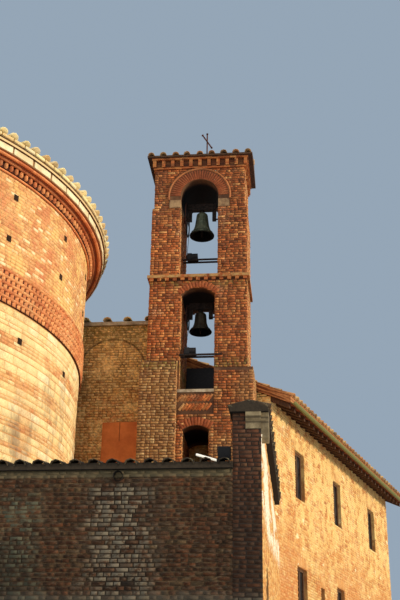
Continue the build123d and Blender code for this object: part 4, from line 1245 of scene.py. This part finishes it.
class LayTower(bpy.types.Operator):
    """Bricks of the bell tower, its arches and jambs"""

    bl_idname = "chapel.tower"
    bl_label = "Tower bricks"

    def execute(self, context):
        sizes = context.scene.chapel_sizes
        draw = np.random.default_rng(sizes.seed)
        walls = self.base_walls() + self.shaft_walls() + self.jambs()
        lay_walls("tower_bricks", walls, draw, sizes, "tower_brick")
        self.lay_arches(draw)
        self.lay_label()
        self.lay_panel(draw)
        return {"FINISHED"}

    def base_walls(self):
        x0, y0 = left_pier[0].x, left_pier[0].y
        x1, y1 = right_pier[1].x, right_pier[0].y
        back = left_pier[1].y
        left_top = left_pier[1].z - LEDGE
        right_top = right_pier[1].z
        half, sill, spring, rise = LOW_OPENING
        bay_gap = (-half - BAY_LEFT, half - BAY_LEFT, sill, spring, rise + 0.20)
        low_gap = (x1 - half, x1 + half, sill, spring, rise)
        middle_half, _, middle_spring, _ = MIDDLE_OPENING
        middle_gap = (x1 - middle_half, x1 + middle_half, SILL_LOW, middle_spring, FLAT)
        inner = right_pier[0].x
        return [
            Wall((x0, y0), (BAY_LEFT, y0), ROOF_LINE, left_top),
            Wall((BAY_LEFT, y0), (BAY_LEFT, y1), ROOF_LINE, left_top),
            Wall((BAY_LEFT, y1), (inner, y1), ROOF_LINE, BAY_TOP, (bay_gap,)),
            Wall((inner, y1), (x1, y1), ROOF_LINE, right_top - LEDGE),
            Wall((x1, y1), (x1, back), ROOF_LINE, right_top),
            Wall((x1, back), (x0, back), 0.0, right_top, (low_gap, middle_gap)),
            Wall((x0, link_wall[0].y), (x0, y0), ROOF_LINE, left_top),
        ]

    def shaft_walls(self):
        x, y = shaft[1].x, shaft[1].y
        low, side_low, high = left_pier[1].z, right_pier[1].z, string_course[0].z
        half, sill, spring, rise = MIDDLE_OPENING
        gap = (x - half, x + half, sill, spring, rise)
        link = (y - 0.75, y - 0.15, 0, link_coping[1].z, FLAT)
        walls = [
            Wall((-x, -y), (x, -y), low, high, (gap,)),
            Wall((half, -y), (x, -y), side_low, low),
            Wall((x, -y), (x, y), side_low, high),
            Wall((x, y), (-x, y), low, high, (gap,)),
            Wall((-x, y), (-x, -y), low, high, (link,)),
        ]
        half, _, spring, _ = UPPER_OPENING
        through = (x - half, x + half, 0, 20, FLAT)
        walls += four_walls(x, y, string_course[1].z, imposts[0].z, (through,))
        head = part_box("upper_arch_right")[1].x
        outer = half + ARCH_RING
        ring = (head - outer, head + outer, spring, spring + 0.001, outer)
        block = (head - BLOCK_HALF, head + BLOCK_HALF, BLOCK_LOW, imposts[1].z, FLAT)
        mouth = (head - half, head + half, BLOCK_LOW, spring, FLAT)
        return walls + four_walls(head, y, imposts[0].z, cornice[0].z, (ring, block, mouth))

    def jambs(self):
        y = shaft[1].y
        walls = []
        for (half, sill, spring, _), front in ((MIDDLE_OPENING, -y), (UPPER_OPENING, -y),
                                               (LOW_OPENING, right_pier[0].y)):
            top = min(spring, imposts[0].z)
            walls.append(Wall((-half, front), (-half, y), sill, top))
            walls.append(Wall((half, y), (half, front), sill, top))
        return walls

    def lay_arches(self, draw):
        y = shaft[1].y
        rows = []
        # Depth of the ring, number of its bricks, how far they stand out, and the faces it shows on
        for opening, ring, count, proud, faces in (
                (UPPER_OPENING, ARCH_RING - 0.05, 33, 0.008, (-y - 0.02, y + 0.02)),
                (MIDDLE_OPENING, 0.17, 14, 0.014, (-y, y)),
                (LOW_OPENING, 0.20, 11, 0.014, (right_pier[0].y,))):
            half, _, spring, rise = opening
            radius, reach = arc(half, rise)
            for face in faces:
                centre = np.array([0.0, face, spring + rise - radius])
                rows += arch_rows(centre, radius, ring, reach, count, BACK * np.sign(face), proud, draw)
        spread("arch_bricks", brick_shape, rows, "voussoir_brick")

    def lay_label(self):
        """The thin pale label moulding round the upper arch, on both faces."""
        spring = UPPER_OPENING[2]
        radius = UPPER_OPENING[0] + ARCH_RING - 0.02
        for name, side in (("arch_label_front", -1), ("arch_label_back", 1)):
            add_ring(radius, 0.024, 48, 8, (0, side * (shaft[1].y + 0.022), spring), turn=math.pi / 2)
            with edited(everything=True):
                bpy.ops.mesh.bisect(plane_co=(0, 0, spring - 0.1), plane_no=(0, 0, 1), use_fill=True,
                                    clear_inner=True)
            label = settle(name)
            label.data.attributes.new("tone", "FLOAT", "POINT")
            dress(label, "label_brick")

    def lay_panel(self, draw):
        """The slanting bricks under the middle sill, between two level courses."""
        x0, x1 = BAY_LEFT + 0.02, right_pier[0].x - 0.01
        ray = np.array([math.sin(PANEL_SLANT), 0, math.cos(PANEL_SLANT)])
        side = np.array([math.cos(PANEL_SLANT), 0, -math.sin(PANEL_SLANT)])
        rows = []
        for index in range(int((x1 - x0) / PANEL_PITCH)):
            for tier in (0, 1):
                x = x0 + 0.03 + (index + 0.35 * tier) * PANEL_PITCH
                if x > x1 - 0.06 or x < x0 + 0.05:
                    continue
                middle = np.array([x, right_pier[0].y + 0.002, PANEL_LOW + tier * PANEL_TIER])
                axes = (side * 0.060, BACK * (0.008 + 0.006 * draw.random()), ray * 0.2)
                rows.append((middle, axes, draw.random()))
        spread("slanted_bricks", brick_shape, rows, "tower_brick")


class LayHall(bpy.types.Operator):
    """Bricks, stones, belt and cornice of the round hall"""

    bl_idname = "chapel.hall"
    bl_label = "Hall bricks"

    def execute(self, context):
        sizes = context.scene.chapel_sizes
        draw = np.random.default_rng(sizes.seed + 1)
        pale_low = HALL_BELT[0] - HALL_PALE_BAND
        low_rows = round_rows(HALL_PLINTH, HALL_MIDDLE, HALL_RADIUS, draw, sizes, 0.5)
        middle_rows = round_rows(HALL_MIDDLE, pale_low, HALL_RADIUS, draw, sizes, 0.5)
        middle_rows += round_rows(pale_low, HALL_BELT[0], HALL_RADIUS, draw, sizes, 1.0)
        high_rows = round_rows(HALL_BELT[1] + 0.03, HALL_DENTILS[0] - 0.04, HALL_RADIUS + HALL_DRUM_OUT,
                               draw, sizes, 0.0)
        spread("hall_stones_low", brick_shape, low_rows, "hall_brick")
        spread("hall_stones_middle", brick_shape, middle_rows, "hall_brick")
        spread("hall_bricks_high", brick_shape, high_rows, "drum_brick")
        self.lay_belt(draw)
        self.lay_cornice(draw)
        self.lay_putlog_shade()
        return {"FINISHED"}

    def lay_belt(self, draw):
        """Five courses of bricks set cornerwise, with a level course over each."""
        rise = (HALL_BELT[1] - HALL_BELT[0]) / BELT_TIERS
        teeth = []
        level = []
        for tier in range(BELT_TIERS):
            low = HALL_BELT[0] + tier * rise
            for index in range(BELT_TEETH):
                angle = 2 * math.pi * (index + 0.5 * (tier % 2)) / BELT_TEETH
                point, along, out = around(angle, HALL_RADIUS + 0.035, low + 0.27 * rise)
                teeth.append((point, (along * 0.085, -out * 0.072, UP * rise * 0.5), draw.random()))
                if index % 2:
                    continue
                point = around(angle, HALL_RADIUS + 0.03, low + 0.77 * rise)[0]
                proud = 0.045 + 0.01 * draw.random()
                level.append((point, (along * 0.27, -out * proud, UP * rise * 0.36), draw.random()))
        spread("belt_teeth", tooth_shape, teeth, "hall_teeth")
        spread("belt_courses", brick_shape, level, "hall_teeth")

    def lay_cornice(self, draw):
        """Dentils, mouldings and the stone band under the eave."""
        height = (HALL_DENTILS[1] - HALL_DENTILS[0]) * 0.9
        rows = ring_rows(DENTILS, HALL_RADIUS + 0.095, sum(HALL_DENTILS) / 2, (0.062, 0.055, height), draw)
        spread("hall_dentils", brick_shape, rows, "hall_teeth")
        rows = []
        height = HALL_BAND[1] - HALL_BAND[0] - 0.02
        for index in range(BAND_STONES):
            angle = 2 * math.pi * index / BAND_STONES
            point, along, out = around(angle, HALL_BAND_RADIUS - 0.012, sum(HALL_BAND) / 2)
            gap = 0.02 + 0.05 * draw.random()
            length = 2 * math.pi * HALL_BAND_RADIUS / BAND_STONES - gap
            rows.append((point, (along * length, -out * 0.03, UP * height), draw.random()))
        spread("band_stones", block_shape, rows, "band_stone")
        for name, out, z, size in (("moulding_low", 0.175, 11.492, 0.036),
                                   ("moulding_high", 0.305, 11.515, 0.036),
                                   ("string_low", 0.065, 11.325, 0.024)):
            add_ring(HALL_RADIUS + out, size, 160, 8, (*HALL, z), stretch=0.85)
            dress(settle(name), "hall_moulding")

    def lay_putlog_shade(self):
        """Dark square patches of painted shade for putlog holes, in three rows: the height and the first
        hole's angle of each.
        """
        rows = []
        for z, first in ((10.91, 62.2), (9.95, 61.4), (8.0, 67.1)):
            radius = HALL_RADIUS + (HALL_DRUM_OUT if z > HALL_BELT[1] else 0.0) + 0.015
            for index in range(PUTLOGS):
                angle = math.radians(first) + index * PUTLOG_TURN
                point, along, out = around(angle, radius, z)
                rows.append((point, (along * 0.12, -out * 0.004, UP * 0.13), 0.0))
        spread("putlog_hole_shade", brick_shape, rows, "putlog_shade")


class LayAnnex(bpy.types.Operator):
    """Bricks of the annex and its drain mouth"""

    bl_idname = "chapel.annex"
    bl_label = "Annex bricks"

    def execute(self, context):
        sizes = context.scene.chapel_sizes
        draw = np.random.default_rng(sizes.seed + 2)
        y = front_wall[0].y
        x_end = side_wall[1].x
        low, high = front_wall[1].z, side_wall[1].z
        dark = (Wall((hall_edge(y), y), (PIER_X, y), 0.0, low), Wall((PIER_X, y), (x_end, y), 0.0, high),
                Wall((PIER_X, 0.0), (PIER_X, y), low + 0.3, high))
        lay_walls("front_wall_bricks", dark, draw, sizes, "dark_brick")
        middle, half, spring = DOORWAY
        gap = (middle - y - half, middle - y + half, 0.0, spring, half)
        lit = Wall((x_end, y), (x_end, 0.72), 0.0, high, (gap,))
        lay_walls("side_wall_bricks", (lit,), draw, sizes, "side_brick")
        self.lay_drain(y)
        return {"FINISHED"}

    def lay_drain(self, y):
        """The round drain mouth high in the front wall."""
        clear_selection()
        bpy.ops.mesh.primitive_cylinder_add(vertices=20, radius=0.075, depth=0.12,
                                            rotation=(math.pi / 2, 0, 0), location=(-0.36, y - 0.01, 4.40))
        with edited():
            pick(lambda face: face.normal.z > 0.9)
            bpy.ops.mesh.inset(thickness=0.018, depth=-0.08)
        dress(settle("drain_mouth"), "dark_paint")


class LayLink(bpy.types.Operator):
    """Bricks of the link wall"""

    bl_idname = "chapel.link"
    bl_label = "Link wall bricks"

    # Where the wall's end steps from the tower's base to its shaft
    step_z = 9.0

    def execute(self, context):
        sizes = context.scene.chapel_sizes
        draw = np.random.default_rng(sizes.seed + 3)
        y0, y1 = link_wall[0].y, link_wall[1].y
        high = link_wall[1].z
        low_end, high_end = left_pier[0].x, shaft[0].x
        start, back = hall_edge(y0), hall_edge(y1)
        walls = (Wall((start, y0), (low_end, y0), ROOF_LINE, self.step_z),
                 Wall((start, y0), (high_end, y0), self.step_z, high),
                 Wall((low_end, y1), (back, y1), 0.0, self.step_z),
                 Wall((high_end, y1), (back, y1), self.step_z, high))
        lay_walls("link_bricks", walls, draw, sizes, "link_brick")
        return {"FINISHED"}


def wing_point(s, t):
    """A point of the wing's plan: s along its long wall, t towards its back."""
    return WING_CORNER + WING_ALONG * s + WING_INWARD * t


def wing_openings(front):
    """The openings (from, to, sill, head) of a long wall."""
    found = []
    for index, (middle, width) in enumerate(WING_COLUMNS):
        for storey, sill in enumerate(WING_SILLS):
            height = WING_WINDOW_HEIGHT
            if index == WING_NARROW:
                if storey != 1:
                    continue
                height = WING_NARROW_HEIGHT
            if index == WING_DOOR and storey == 0 and front:
                sill, height = 0.0, WING_DOOR_HEIGHT
            found.append((middle - width / 2, middle + width / 2, sill, sill + height))
    return found


class LayWing(bpy.types.Operator):
    """Bricks, sills and lintels of the wing"""

    bl_idname = "chapel.wing"
    bl_label = "Wing bricks"

    def execute(self, context):
        sizes = context.scene.chapel_sizes
        draw = np.random.default_rng(sizes.seed + 4)
        corners = [wing_point(0, 0), wing_point(WING_LENGTH, 0), wing_point(WING_LENGTH, WING_WIDTH),
                   wing_point(0, WING_WIDTH)]
        front_gaps = [(*opening, FLAT) for opening in wing_openings(True)]
        back_gaps = [(WING_LENGTH - b, WING_LENGTH - a, *heights, FLAT)
                     for a, b, *heights in wing_openings(False)]
        ridge = WING_TOP + WING_WIDTH / 2 * math.tan(WING_PITCH)
        front = Wall(corners[0], corners[1], 0.0, WING_TOP, front_gaps)
        back = Wall(corners[2], corners[3], 0.0, WING_TOP, back_gaps)
        ends = [Wall(start, end, 0.0, ridge - 0.1, (), self.gable_top)
                for start, end in ((corners[3], corners[0]), (corners[1], corners[2]))]
        for name, walls in (("wing_front_bricks", (front,)), ("wing_back_bricks", (back,)),
                            ("wing_gable_bricks", ends)):
            lay_walls(name, walls, draw, sizes, "wing_brick")
        self.lay_sills(draw)
        return {"FINISHED"}

    def gable_top(self, z):
        """Where a gable's sloping edges cut a height."""
        reach = max(0.0, z - WING_TOP) / math.tan(WING_PITCH)
        return reach, WING_WIDTH - reach

    def lay_sills(self, draw):
        """A thin brick sill below each window and flat arch bricks over it."""
        rows = []
        for front, side, depth in ((True, 1, 0), (False, -1, WING_WIDTH)):
            along, inward = WING_ALONG * side, WING_INWARD * side
            for a, b, sill, head in wing_openings(front):
                base = wing_point((a + b) / 2, depth)
                if sill > 0:
                    axes = (along * (b - a + 0.12), inward * 0.14, UP * 0.045)
                    rows.append((base + UP * (sill - 0.02) + inward * 0.1, axes, draw.random()))
                width = b - a + 0.1
                count = max(4, round(width / 0.072))
                pitch = width / count
                for index in range(count):
                    middle = base + UP * (head + 0.12) + along * ((index + 0.5) * pitch - width / 2)
                    axes = (along * (pitch - 0.01), inward * 0.017, UP * 0.23)
                    rows.append((middle, axes, 0.2 + 0.5 * draw.random()))
        spread("wing_sills", brick_shape, rows, "wing_brick")


class LayRoofs(bpy.types.Operator):
    """Roof tiles and coping tiles"""

    bl_idname = "chapel.roofs"
    bl_label = "Roof tiles"

    def execute(self, context):
        sizes = context.scene.chapel_sizes
        draw = np.random.default_rng(sizes.seed + 5)
        self.lay_wing(draw, sizes)
        self.lay_hall(draw)
        self.lay_tower(draw)
        self.lay_lean_to(draw, sizes)
        self.lay_copings(draw)
        return {"FINISHED"}

    def lay_wing(self, draw, sizes):
        rows = []
        thick = WING_ROOF_THICK / math.cos(WING_PITCH)
        edge_z = WING_TOP - WING_EAVE_OUT * math.tan(WING_PITCH) + thick - TILE_SINK
        slope = (WING_WIDTH / 2 + WING_EAVE_OUT) / math.cos(WING_PITCH)
        courses = int((slope - 0.3) / sizes.tile_exposure) + 1
        exposure = (slope - 0.40) / (courses - 1)
        count = int((WING_LENGTH + 0.1) / sizes.tile_spacing)
        spacing = (WING_LENGTH + 0.12 - 0.2) / (count - 1)
        for side, s, t in ((1, 0.04, -WING_EAVE_OUT), (-1, WING_LENGTH - 0.04, WING_WIDTH + WING_EAVE_OUT)):
            upslope = uphill(WING_INWARD * side, WING_PITCH)
            start = wing_point(s, t) + UP * edge_z - upslope * 0.03
            rows += tile_rows(start, WING_ALONG * side, upslope, count, spacing, courses, exposure, draw)
        ridge_z = WING_TOP + WING_WIDTH / 2 * math.tan(WING_PITCH) + thick - TILE_SINK
        across = np.cross(WING_ALONG, UP)
        pieces = int(WING_LENGTH / RIDGE_STEP)
        for index in range(pieces):
            step = 0.2 + index * WING_LENGTH / pieces
            middle = wing_point(step - 0.04, WING_WIDTH / 2) + UP * ridge_z
            rows.append((middle, (across * 0.24, WING_ALONG * 0.46, UP * 0.2), draw.random()))
        spread("wing_tiles", tile_shape, rows, "roof_tile")

    def lay_hall(self, draw):
        rows = []
        eave_rows = []
        edge_z = HALL_BAND[1] + HALL_ROOF_THICK - TILE_SINK - 0.03
        radius = HALL_EAVE_RADIUS + 0.01
        target, lean = eave_rows, 0.09
        while radius > 0.7:
            count = round(2 * math.pi * radius / ROOF_STEP)
            z = edge_z + (HALL_EAVE_RADIUS - radius) * math.tan(HALL_ROOF_PITCH)
            for index in range(count):
                angle = 2 * math.pi * (index + 0.2 * (draw.random() - 0.5)) / count
                point, along, out = around(angle, radius, z)
                upslope = uphill(-out, HALL_ROOF_PITCH)
                normal = np.cross(along, upslope)
                width = 0.20 * (0.95 + 0.1 * draw.random())
                axes = (along * width, upslope * 0.44 - normal * lean, normal * width * 0.9)
                target.append((point + upslope * 0.19 + normal * 0.015, axes, draw.random()))
            target, lean = rows, 0.02
            radius -= ROOF_EXPOSURE
        spread("hall_tiles", tile_shape, rows, "roof_tile")
        spread("hall_eave_tiles", tile_shape, eave_rows, "eave_tile")
        ends = ring_rows(len(eave_rows), HALL_EAVE_RADIUS - 0.05, edge_z + 0.005, (0.27, 0.075, 0.06), draw,
                         0.5)
        spread("hall_channel_ends", block_shape, ends, "eave_tile")

    def lay_tower(self, draw):
        rows = []
        half_x, half_y = tower_roof[1].x, tower_roof[1].y
        edge_z = tower_roof[0].z + TOWER_ROOF_EDGE - 0.03
        count = round(2 * half_x / ROOF_STEP)
        spacing = (2 * half_x - 0.2) / (count - 1)
        for side in (-1, 1):
            upslope = uphill(BACK * -side, TOWER_ROOF_PITCH)
            start = np.array([side * (half_x - 0.1), side * half_y, edge_z]) - upslope * 0.04
            rows += tile_rows(start, RIGHT * -side, upslope, count, spacing, 3, 0.26, draw, length=0.38,
                              width=0.17)
        axes = (BACK * 0.20, RIGHT * -0.42, UP * 0.17)
        for index in range(TOWER_RIDGE_TILES):
            middle = np.array([-half_x + 0.2 + index * TOWER_RIDGE_STEP, 0.0, tower_roof[1].z - 0.03])
            rows.append((middle, axes, draw.random()))
        spread("tower_tiles", tile_shape, rows, "roof_tile")

    def lay_lean_to(self, draw, sizes):
        y0, y1 = lean_to_roof[0].y, lean_to_roof[1].y
        tower_front = left_pier[0].y
        pitch = math.atan2(LEAN_TO_HIGH - LEAN_TO_LOW, tower_front - y0)
        slope = (y1 - y0) / math.cos(pitch)
        upslope = uphill(BACK, pitch)
        x1 = PIER_X - 0.12
        columns = int((x1 - (HALL[0] + HALL_RADIUS * 0.4)) / sizes.tile_spacing)
        courses = int(slope / sizes.tile_exposure)
        rows = []
        for column in range(columns):
            x = x1 - column * sizes.tile_spacing
            for course in range(courses):
                start = np.array([x, y0, LEAN_TO_LOW - TILE_SINK])
                at = start + upslope * (0.15 + course * slope / courses)
                in_hall = math.hypot(x - HALL[0], at[1] - HALL[1]) < HALL_RADIUS + 0.05
                beside_tower = x < left_pier[0].x - 0.1 or x > right_pier[1].x + 0.1
                if not in_hall and (beside_tower or at[1] + 0.3 < tower_front):
                    rows += tile_rows(at, RIGHT, upslope, 1, 0.0, 1, 0.0, draw)
        spread("lean_to_tiles", tile_shape, rows, "roof_tile")

    def lay_copings(self, draw):
        """Cap tiles of the annex's two walls and of the link wall."""
        y = front_coping[0].y
        start = hall_edge(y) + 0.05
        count = int((PIER_X - start) / COPING_STEP)
        first = np.array([start, y - 0.02, front_wall[1].z + 0.035])
        spacing = (PIER_X - 0.12 - start) / (count - 1)
        upslope = uphill(BACK, math.radians(17))
        rows = tile_rows(first, RIGHT, upslope, count, spacing, 1, 0.0, draw, length=0.46, width=0.20)
        (x0, y0, _), (x1, y1, top) = side_coping
        count = int((y1 - y0) / COPING_STEP)
        spacing = (y1 - y0 - 0.24) / (count - 1)
        for side, x, y in ((-1, x0, y1 - 0.12), (1, x1, y0 + 0.12)):
            upslope = uphill(RIGHT * -side, math.radians(20))
            rows += tile_rows(np.array([x, y, top - 0.13]), BACK * side, upslope, count, spacing, 1, 0.0,
                              draw, length=0.34, width=0.20)
        spread("coping_tiles", tile_shape, rows, "coping_tile")
        rows = []
        x0, x1 = hall_edge(link_coping[0].y), shaft[0].x
        count = int((x1 - x0) / LINK_TILE_STEP)
        spacing = (x1 - x0 - 0.27) / (count - 1)
        z = link_wall[1].z + 0.09
        for side, x, y in ((-1, x0 + 0.15, link_coping[0].y), (1, x1 - 0.12, link_coping[1].y)):
            upslope = uphill(BACK * -side, math.radians(16))
            rows += tile_rows(np.array([x, y, z]), RIGHT * -side, upslope, count, spacing, 1, 0.0, draw,
                              length=0.42, width=0.21)
        spread("link_tiles", tile_shape, rows, "eave_tile")


class DressBells(bpy.types.Operator):
    """Moulded rings on the bells"""

    bl_idname = "chapel.bells"
    bl_label = "Bells"

    # Radius in widths of the mouth, place in heights of the bell, thickness in metres
    rings = ((0.492, 0.03, 0.010), (0.445, 0.12, 0.007), (0.425, 0.145, 0.005), (0.262, 0.60, 0.006),
             (0.256, 0.63, 0.006), (0.232, 0.80, 0.006), (0.228, 0.83, 0.005))

    def execute(self, context):
        self.ring_bell("upper", "upper_bronze", "upper_bell_set")
        self.ring_bell("lower", "lower_bronze", "lower_bell_set")
        return {"FINISHED"}

    def ring_bell(self, name, finish, body):
        """Raised mouldings above the lip, at the waist and at the shoulder."""
        low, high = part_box(f"{name}_bell")
        for index, (radius, level, size) in enumerate(self.rings):
            place = (0, 0, low.z + level * (high.z - low.z))
            add_ring(radius * (high.x - low.x), size, 48, 6, place, stretch=1.5)
            bpy.ops.object.shade_smooth()
            dress(settle(f"{name}_bell_ring_{index}"), finish, body)


class ChapelPanel(bpy.types.Panel):
    """Lists the steps of the chapel"""

    bl_idname = "CHAPEL_PT_steps"
    bl_label = "Chapel"
    bl_space_type = "VIEW_3D"
    bl_region_type = "UI"
    bl_category = "Chapel"

    def draw(self, context):
        for group in (context.scene.chapel_sizes, context.scene.chapel_colours):
            for name in group.__annotations__:
                self.layout.prop(group, name)
        for step in STEPS:
            self.layout.operator(step.bl_idname)


STEPS = (MakeStage, FinishNodes, LayTower, LayHall, LayAnnex, LayLink, LayWing, LayRoofs, DressBells)
CLASSES = (ChapelSizes, ChapelColours, *STEPS, ChapelPanel)


def register():
    for made in CLASSES:
        bpy.utils.register_class(made)
    bpy.types.Scene.chapel_sizes = bpy.props.PointerProperty(type=ChapelSizes)
    bpy.types.Scene.chapel_colours = bpy.props.PointerProperty(type=ChapelColours)


def unregister():
    del bpy.types.Scene.chapel_sizes
    del bpy.types.Scene.chapel_colours
    for made in reversed(CLASSES):
        bpy.utils.unregister_class(made)


def main():
    register()
    bpy.ops.chapel.stage()
    bpy.ops.chapel.nodes()
    bpy.ops.chapel.tower()
    bpy.ops.chapel.hall()
    bpy.ops.chapel.annex()
    bpy.ops.chapel.link()
    bpy.ops.chapel.wing()
    bpy.ops.chapel.roofs()
    bpy.ops.chapel.bells()


if __name__ == "__main__":
    main()
